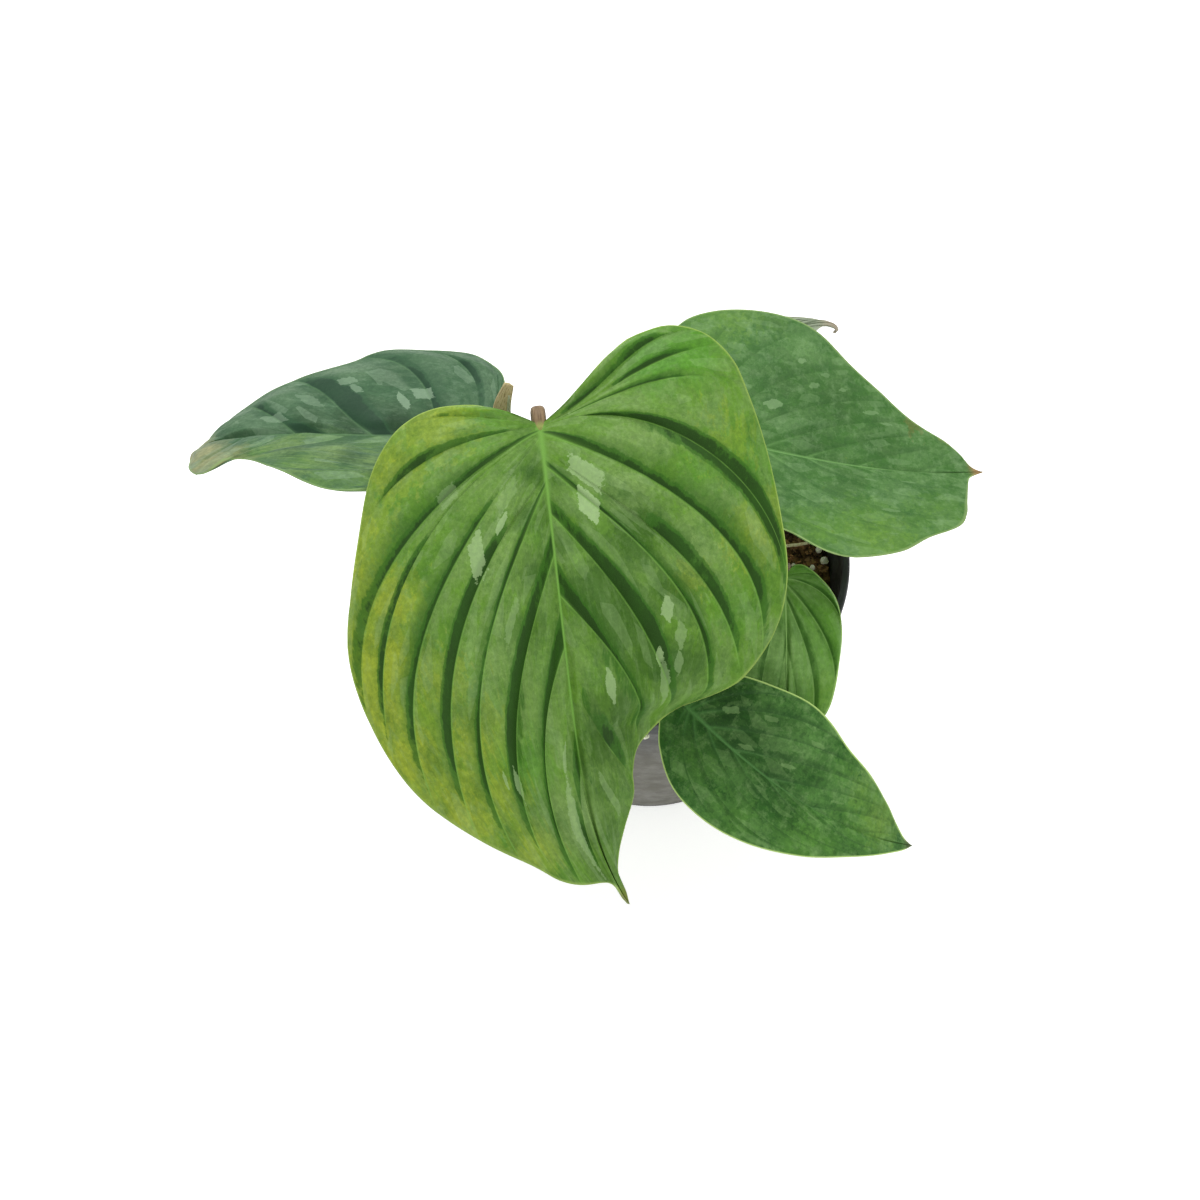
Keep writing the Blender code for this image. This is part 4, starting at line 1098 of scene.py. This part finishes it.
def pot_material():
    """Black plastic with scuffs and dust, and painted light: a sheen in its streaks, a lighter
    lower outside wall (partly dust) and a contact shadow at the foot.
    """
    graph = Graph("nursery_pot_black")
    place = graph.place()
    grain = graph.noise(place, 1400.0, 3.0)
    scuff = graph.noise(graph.stretch(place, 60.0, 60.0, 420.0), 1.0, 4.0)
    dust = graph.noise(place, 90.0, 5.0, 0.65)
    height = graph.third(place)
    # Blue-grey black for the rim band and inside; its lighter streaks are partly scuffs and
    # partly a painted sheen.
    graph.two_tone(scuff, 0.35, 0.75, (42, 43, 44), (66, 68, 71))
    black = graph.painted
    # A lighter grey-brown copy below the rim band: partly dust and partly painted light and a
    # painted reflection of the pale floor.
    graph.two_tone(scuff, 0.35, 0.75, (77, 75, 64), (86, 84, 72))
    painted_light_height = graph.math("MULTIPLY_ADD", graph.centred(dust), 0.02, height)
    graph.cover(graph.span(painted_light_height, 0.070, 0.128), black)
    # A painted contact shadow: the foot darkens over its lowest few millimetres.
    graph.cover(graph.span(height, 0.0012, 0.0045, 0.75, 0.0), tint(30, 30, 31))
    graph.cover(graph.span(dust, 0.56, 0.72, 0.0, 0.5), tint(96, 92, 84))
    graph.bump(graph.plus(grain, graph.times(scuff, 0.8)), 0.00008, 0.6)
    return graph.finish(graph.span(dust, 0.3, 0.7, 0.40, 0.65))


def make_pot():
    """The thin-walled nursery pot, with drain holes cut through its floor."""
    pot = turned("pot_shell", pot_profile(), POT_STEPS, pot_material())
    form = bmesh.new()
    for hole in range(DRAIN_HOLES):
        turn = 2 * pi * (hole + 0.5) / DRAIN_HOLES
        made = bmesh.ops.create_cone(form, cap_ends=True, segments=32, radius1=DRAIN_HOLE_RADIUS,
                                     radius2=DRAIN_HOLE_RADIUS, depth=POT_FLOOR * 3)
        place = (DRAIN_CIRCLE * cos(turn), DRAIN_CIRCLE * sin(turn), POT_FLOOR / 2)
        bmesh.ops.translate(form, verts=made["verts"], vec=place)
    mesh = bpy.data.meshes.new("drain_cutter")
    form.to_mesh(mesh)
    form.free()
    cutter = linked("drain_cutter", mesh)
    boolean = pot.modifiers.new("cut", "BOOLEAN")
    boolean.operation = "DIFFERENCE"
    boolean.object = cutter
    applied(pot)
    bpy.data.objects.remove(cutter)
    pot.data.set_sharp_from_angle(angle=radians(40))
    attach(pot, "root")
    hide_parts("pot")


def soil_height(x, y):
    """Height of the CAD soil's surface."""
    reach = np.hypot(x, y) / wall_radius(SOIL_TOP)
    fade = np.clip((0.97 - reach) / 0.2, 0.0, 1.0)
    lumps = np.sin(210 * x + 1.3) * np.cos(190 * y + 0.4) + 0.6 * np.sin(330 * x - 270 * y)
    return SOIL_TOP + SOIL_ROUGHNESS * lumps * fade


def soil_material():
    """Dark peat with paler clods and crumbs."""
    graph = Graph("potting_mix")
    place = graph.place()
    clods = graph.noise(place, 160.0, 6.0, 0.7)
    crumbs = graph.cells(place, 420.0)
    graph.two_tone(clods, 0.35, 0.65, (40, 27, 17), (146, 110, 72))
    graph.cover(graph.span(crumbs, 0.5, 0.95, 0.0, 0.5), tint(170, 138, 98))
    graph.bump(graph.plus(clods, graph.times(crumbs, 0.4)), 0.0008, 0.9)
    return graph.finish(0.95, 0.1)


def make_soil():
    """The potting mix: a block with a rough top and a crust of loose crumbs on it."""
    side_gap = POT_WALL + 0.00035
    rings = 44
    outer = wall_radius(SOIL_TOP) - side_gap
    profile = [(outer * ring / rings, SOIL_TOP) for ring in range(rings + 1)]
    profile.append((wall_radius(0.004) - side_gap, 0.0042))
    profile.append((0.0, 0.0030))
    soil = applied(turned("soil_mix", profile, 120, soil_material()))
    for vertex in soil.data.vertices:
        if vertex.co.z > SOIL_TOP - 0.0001:
            x, y = vertex.co.x, vertex.co.y
            rough = 0.0005 * (sin(900 * x + 4 * sin(700 * y)) + cos(1100 * y + 3 * sin(800 * x)))
            vertex.co.z = float(soil_height(x, y)) + rough - 0.0004
    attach(soil, "root")
    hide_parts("soil")
    make_crust()


def crumb_form(random, length, wide, thick):
    """A broken, uneven crumb, as a bmesh."""
    form = bmesh.new()
    bmesh.ops.create_icosphere(form, subdivisions=1, radius=1.0)
    for vertex in form.verts:
        vertex.co *= 0.75 + 0.5 * random.random()
        vertex.co.x *= length
        vertex.co.y *= wide
        vertex.co.z *= thick
    return form


def crumb_materials():
    """Finishes of the loose crumbs: two barks, peat and perlite dust."""
    finishes = []
    for name, dark, pale in (("bark_brown", (92, 64, 42), (176, 134, 92)),
                             ("bark_red", (116, 74, 48), (202, 154, 108)),
                             ("peat_dark", (30, 22, 16), (90, 68, 46))):
        graph = Graph(name)
        grain = graph.noise(graph.stretch(graph.place(), 500.0, 1400.0, 900.0), 1.0, 4.0)
        graph.two_tone(grain, 0.35, 0.7, dark, pale)
        graph.bump(grain, 0.0004, 0.8)
        finishes.append(graph.finish(0.9, 0.15))
    graph = Graph("perlite_dust")
    graph.two_tone(graph.noise(graph.place(), 900.0, 3.0), 0.3, 0.7, (196, 190, 176),
                   (236, 233, 224))
    finishes.append(graph.finish(0.9, 0.2))
    return finishes


def make_crust():
    """Loose crumbs of bark, peat and perlite, joined as one piece."""
    random = np.random.default_rng(CRUMB_SEED)
    points = []
    faces = []
    slots = []
    outer = wall_radius(SOIL_TOP) - POT_WALL - 0.002
    for _ in range(CRUMB_COUNT):
        reach = outer * random.random() ** 0.5
        turn = 2 * pi * random.random()
        x, y = reach * cos(turn), reach * sin(turn)
        near_stem = (x - STEM_X) ** 2 + (y - STEM_Y) ** 2 < (STEM_RADIUS + 0.001) ** 2
        if near_stem:
            continue
        kind = random.choice(4, p=(0.30, 0.22, 0.44, 0.04))
        length = (0.0006 + 0.0022 * random.random() ** 2.2) * (0.6 if kind == 3 else 1.0)
        form = crumb_form(random, length, length * (0.45 + 0.4 * random.random()),
                          length * (0.3 + 0.3 * random.random()))
        spin = random.random(3) * (0.9, 0.9, 6.28)
        c, s = cos(spin[2]), sin(spin[2])
        height = float(soil_height(x, y)) + length * 0.10
        base = len(points)
        for vertex in form.verts:
            vx, vy, vz = vertex.co
            vz = vz + vx * sin(spin[0] - 0.45) * 0.6
            points.append((x + vx * c - vy * s, y + vx * s + vy * c, height + vz))
        for face in form.faces:
            faces.append([base + vertex.index for vertex in face.verts])
            slots.append(int(kind))
        form.free()
    mesh = bpy.data.meshes.new("soil_crust")
    mesh.from_pydata(points, [], faces)
    for finish in crumb_materials():
        mesh.materials.append(finish)
    mesh.polygons.foreach_set("material_index", slots)
    crust = linked("soil_crust", mesh)
    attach(crust, "root")


def make_stem():
    """The short stem, with rings where old leaves were."""
    finish = woody_skin("stem_skin", ((96, 92, 48), (128, 112, 66), (66, 48, 30)), 0.7)
    profile = [(0.0, STEM_TOP)]
    for step in range(1, 7):
        turn = pi / 2 * (1 - step / 6)
        profile.append((STEM_RADIUS - STEM_ROUND + STEM_ROUND * cos(turn),
                        STEM_TOP - STEM_ROUND + STEM_ROUND * sin(turn)))
    low = SOIL_TOP - STEM_DEPTH
    for step in range(1, 60):
        height = STEM_TOP - STEM_ROUND - (STEM_TOP - STEM_ROUND - low) * step / 60
        ring = 0.0005 * max(0.0, sin(height * 2 * pi / 0.0062)) ** 6
        profile.append((STEM_RADIUS - 0.0002 + ring, height))
    profile.append((STEM_RADIUS - 0.0005, low))
    profile.append((0.0, low))
    stem = applied(turned("stem_body", profile, 48, finish))
    for vertex in stem.data.vertices:
        vertex.co.x += STEM_X
        vertex.co.y += STEM_Y
    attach(stem, "root")
    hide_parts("stem")


def dress_small_nodes():
    """New materials for the CAD nodes whose shape is kept."""
    graph = Graph("perlite_crumb")
    pits = graph.noise(graph.place(), 900.0, 4.0)
    graph.two_tone(pits, 0.35, 0.6, (228, 220, 198), (255, 252, 240))
    graph.bump(pits, 0.0006, 0.9)
    perlite = graph.finish(0.9, 0.2)
    bark = woody_skin("bark_chip", ((70, 42, 28), (134, 92, 60), (40, 24, 16)), 0.9)
    root = woody_skin("root_skin", ((222, 204, 160), (250, 240, 206), (176, 146, 104)), 0.8)
    for name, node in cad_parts.items():
        if name.startswith("perlite"):
            dress(node, perlite)
        elif name.startswith("bark"):
            dress(node, bark)
        elif name == "root":
            dress(node, root)


def dress(node, finish):
    for slot in node.material_slots:
        slot.material = finish


def make_stage():
    """A plain pale floor, soft light and the camera."""
    bpy.ops.mesh.primitive_plane_add(size=6.0, location=(0.0, 0.0, -0.0002))
    floor = bpy.context.object
    floor.name = "floor"
    graph = Graph("pale_floor")
    graph.painted = (0.93, 0.93, 0.925, 1.0)
    graph.finish(0.9, 0.1)
    graph.shader.inputs["Emission Color"].default_value = (1.0, 1.0, 1.0, 1.0)
    graph.shader.inputs["Emission Strength"].default_value = 0.5
    floor.data.materials.append(graph.material)
    world = bpy.data.worlds.new("studio")
    world.use_nodes = True
    world.node_tree.nodes["Background"].inputs["Color"].default_value = (1.0, 1.0, 1.0, 1.0)
    world.node_tree.nodes["Background"].inputs["Strength"].default_value = 0.62
    bpy.context.scene.world = world
    lamp("key", (-0.20, 0.80, 1.30), (0.0, 0.0, 0.15), 0.8, 15.0)
    lamp("fill", (0.5, -1.2, 0.9), (0.0, 0.0, 0.1), 1.0, 5.0)
    camera = linked("camera", bpy.data.cameras.new("camera"))
    camera.data.lens = CAMERA_LENS
    camera.data.sensor_width = SENSOR_WIDTH
    camera.location = CAMERA_PLACE
    camera.rotation_euler = (radians(CAMERA_TILT), 0.0, 0.0)
    bpy.context.scene.camera = camera
    bpy.context.scene.view_settings.view_transform = "Standard"


def lamp(name, place, aim, size, power):
    data = bpy.data.lights.new(name, "AREA")
    data.size = size
    data.energy = power
    made = linked(name, data)
    made.location = place
    made.rotation_euler = (Vector(aim) - Vector(place)).to_track_quat("-Z", "Y").to_euler()


PETIOLE_SKIN = stalk_skin("petiole_skin", ((104, 84, 60), (140, 118, 88), (88, 62, 42)), 0.6,
                          spot_reach=0.6, young=(150, 160, 86))

make_stage()
make_pot()
make_soil()
make_stem()
for leaf_key, leaf_numbers in LEAVES.items():
    leaf_numbers = {**USUAL_LEAF, **leaf_numbers}
    make_leaf(leaf_key, leaf_numbers)
    make_petiole(leaf_key, leaf_numbers)
sheath_skin = stalk_skin("sheath_skin", ((178, 160, 114), (212, 196, 150), (134, 112, 72)), 0.75,
                         streaks=1.6)
sweep("sheath_strip", SHEATH_ROUTE,
      ((0, 0.0026), (0.55, 0.0032), (0.8, 0.0036), (0.9, 0.0031), (1, 0.0018)),
      24, 0.30, sheath_skin, "sheath", facing=FACING_VIEWER)
spear_skin = stalk_skin("young_leaf_skin", ((160, 168, 130), (190, 198, 164), (136, 142, 104)),
                        0.6)
sweep("young_leaf_blade", SPEAR_ROUTE, ((0, 0.0010), (0.7, 0.0008), (1, 0.0004)), 16, 1.0,
      spear_skin, "young_leaf_spear", 24, facing=FACING_VIEWER)
dress_small_nodes()
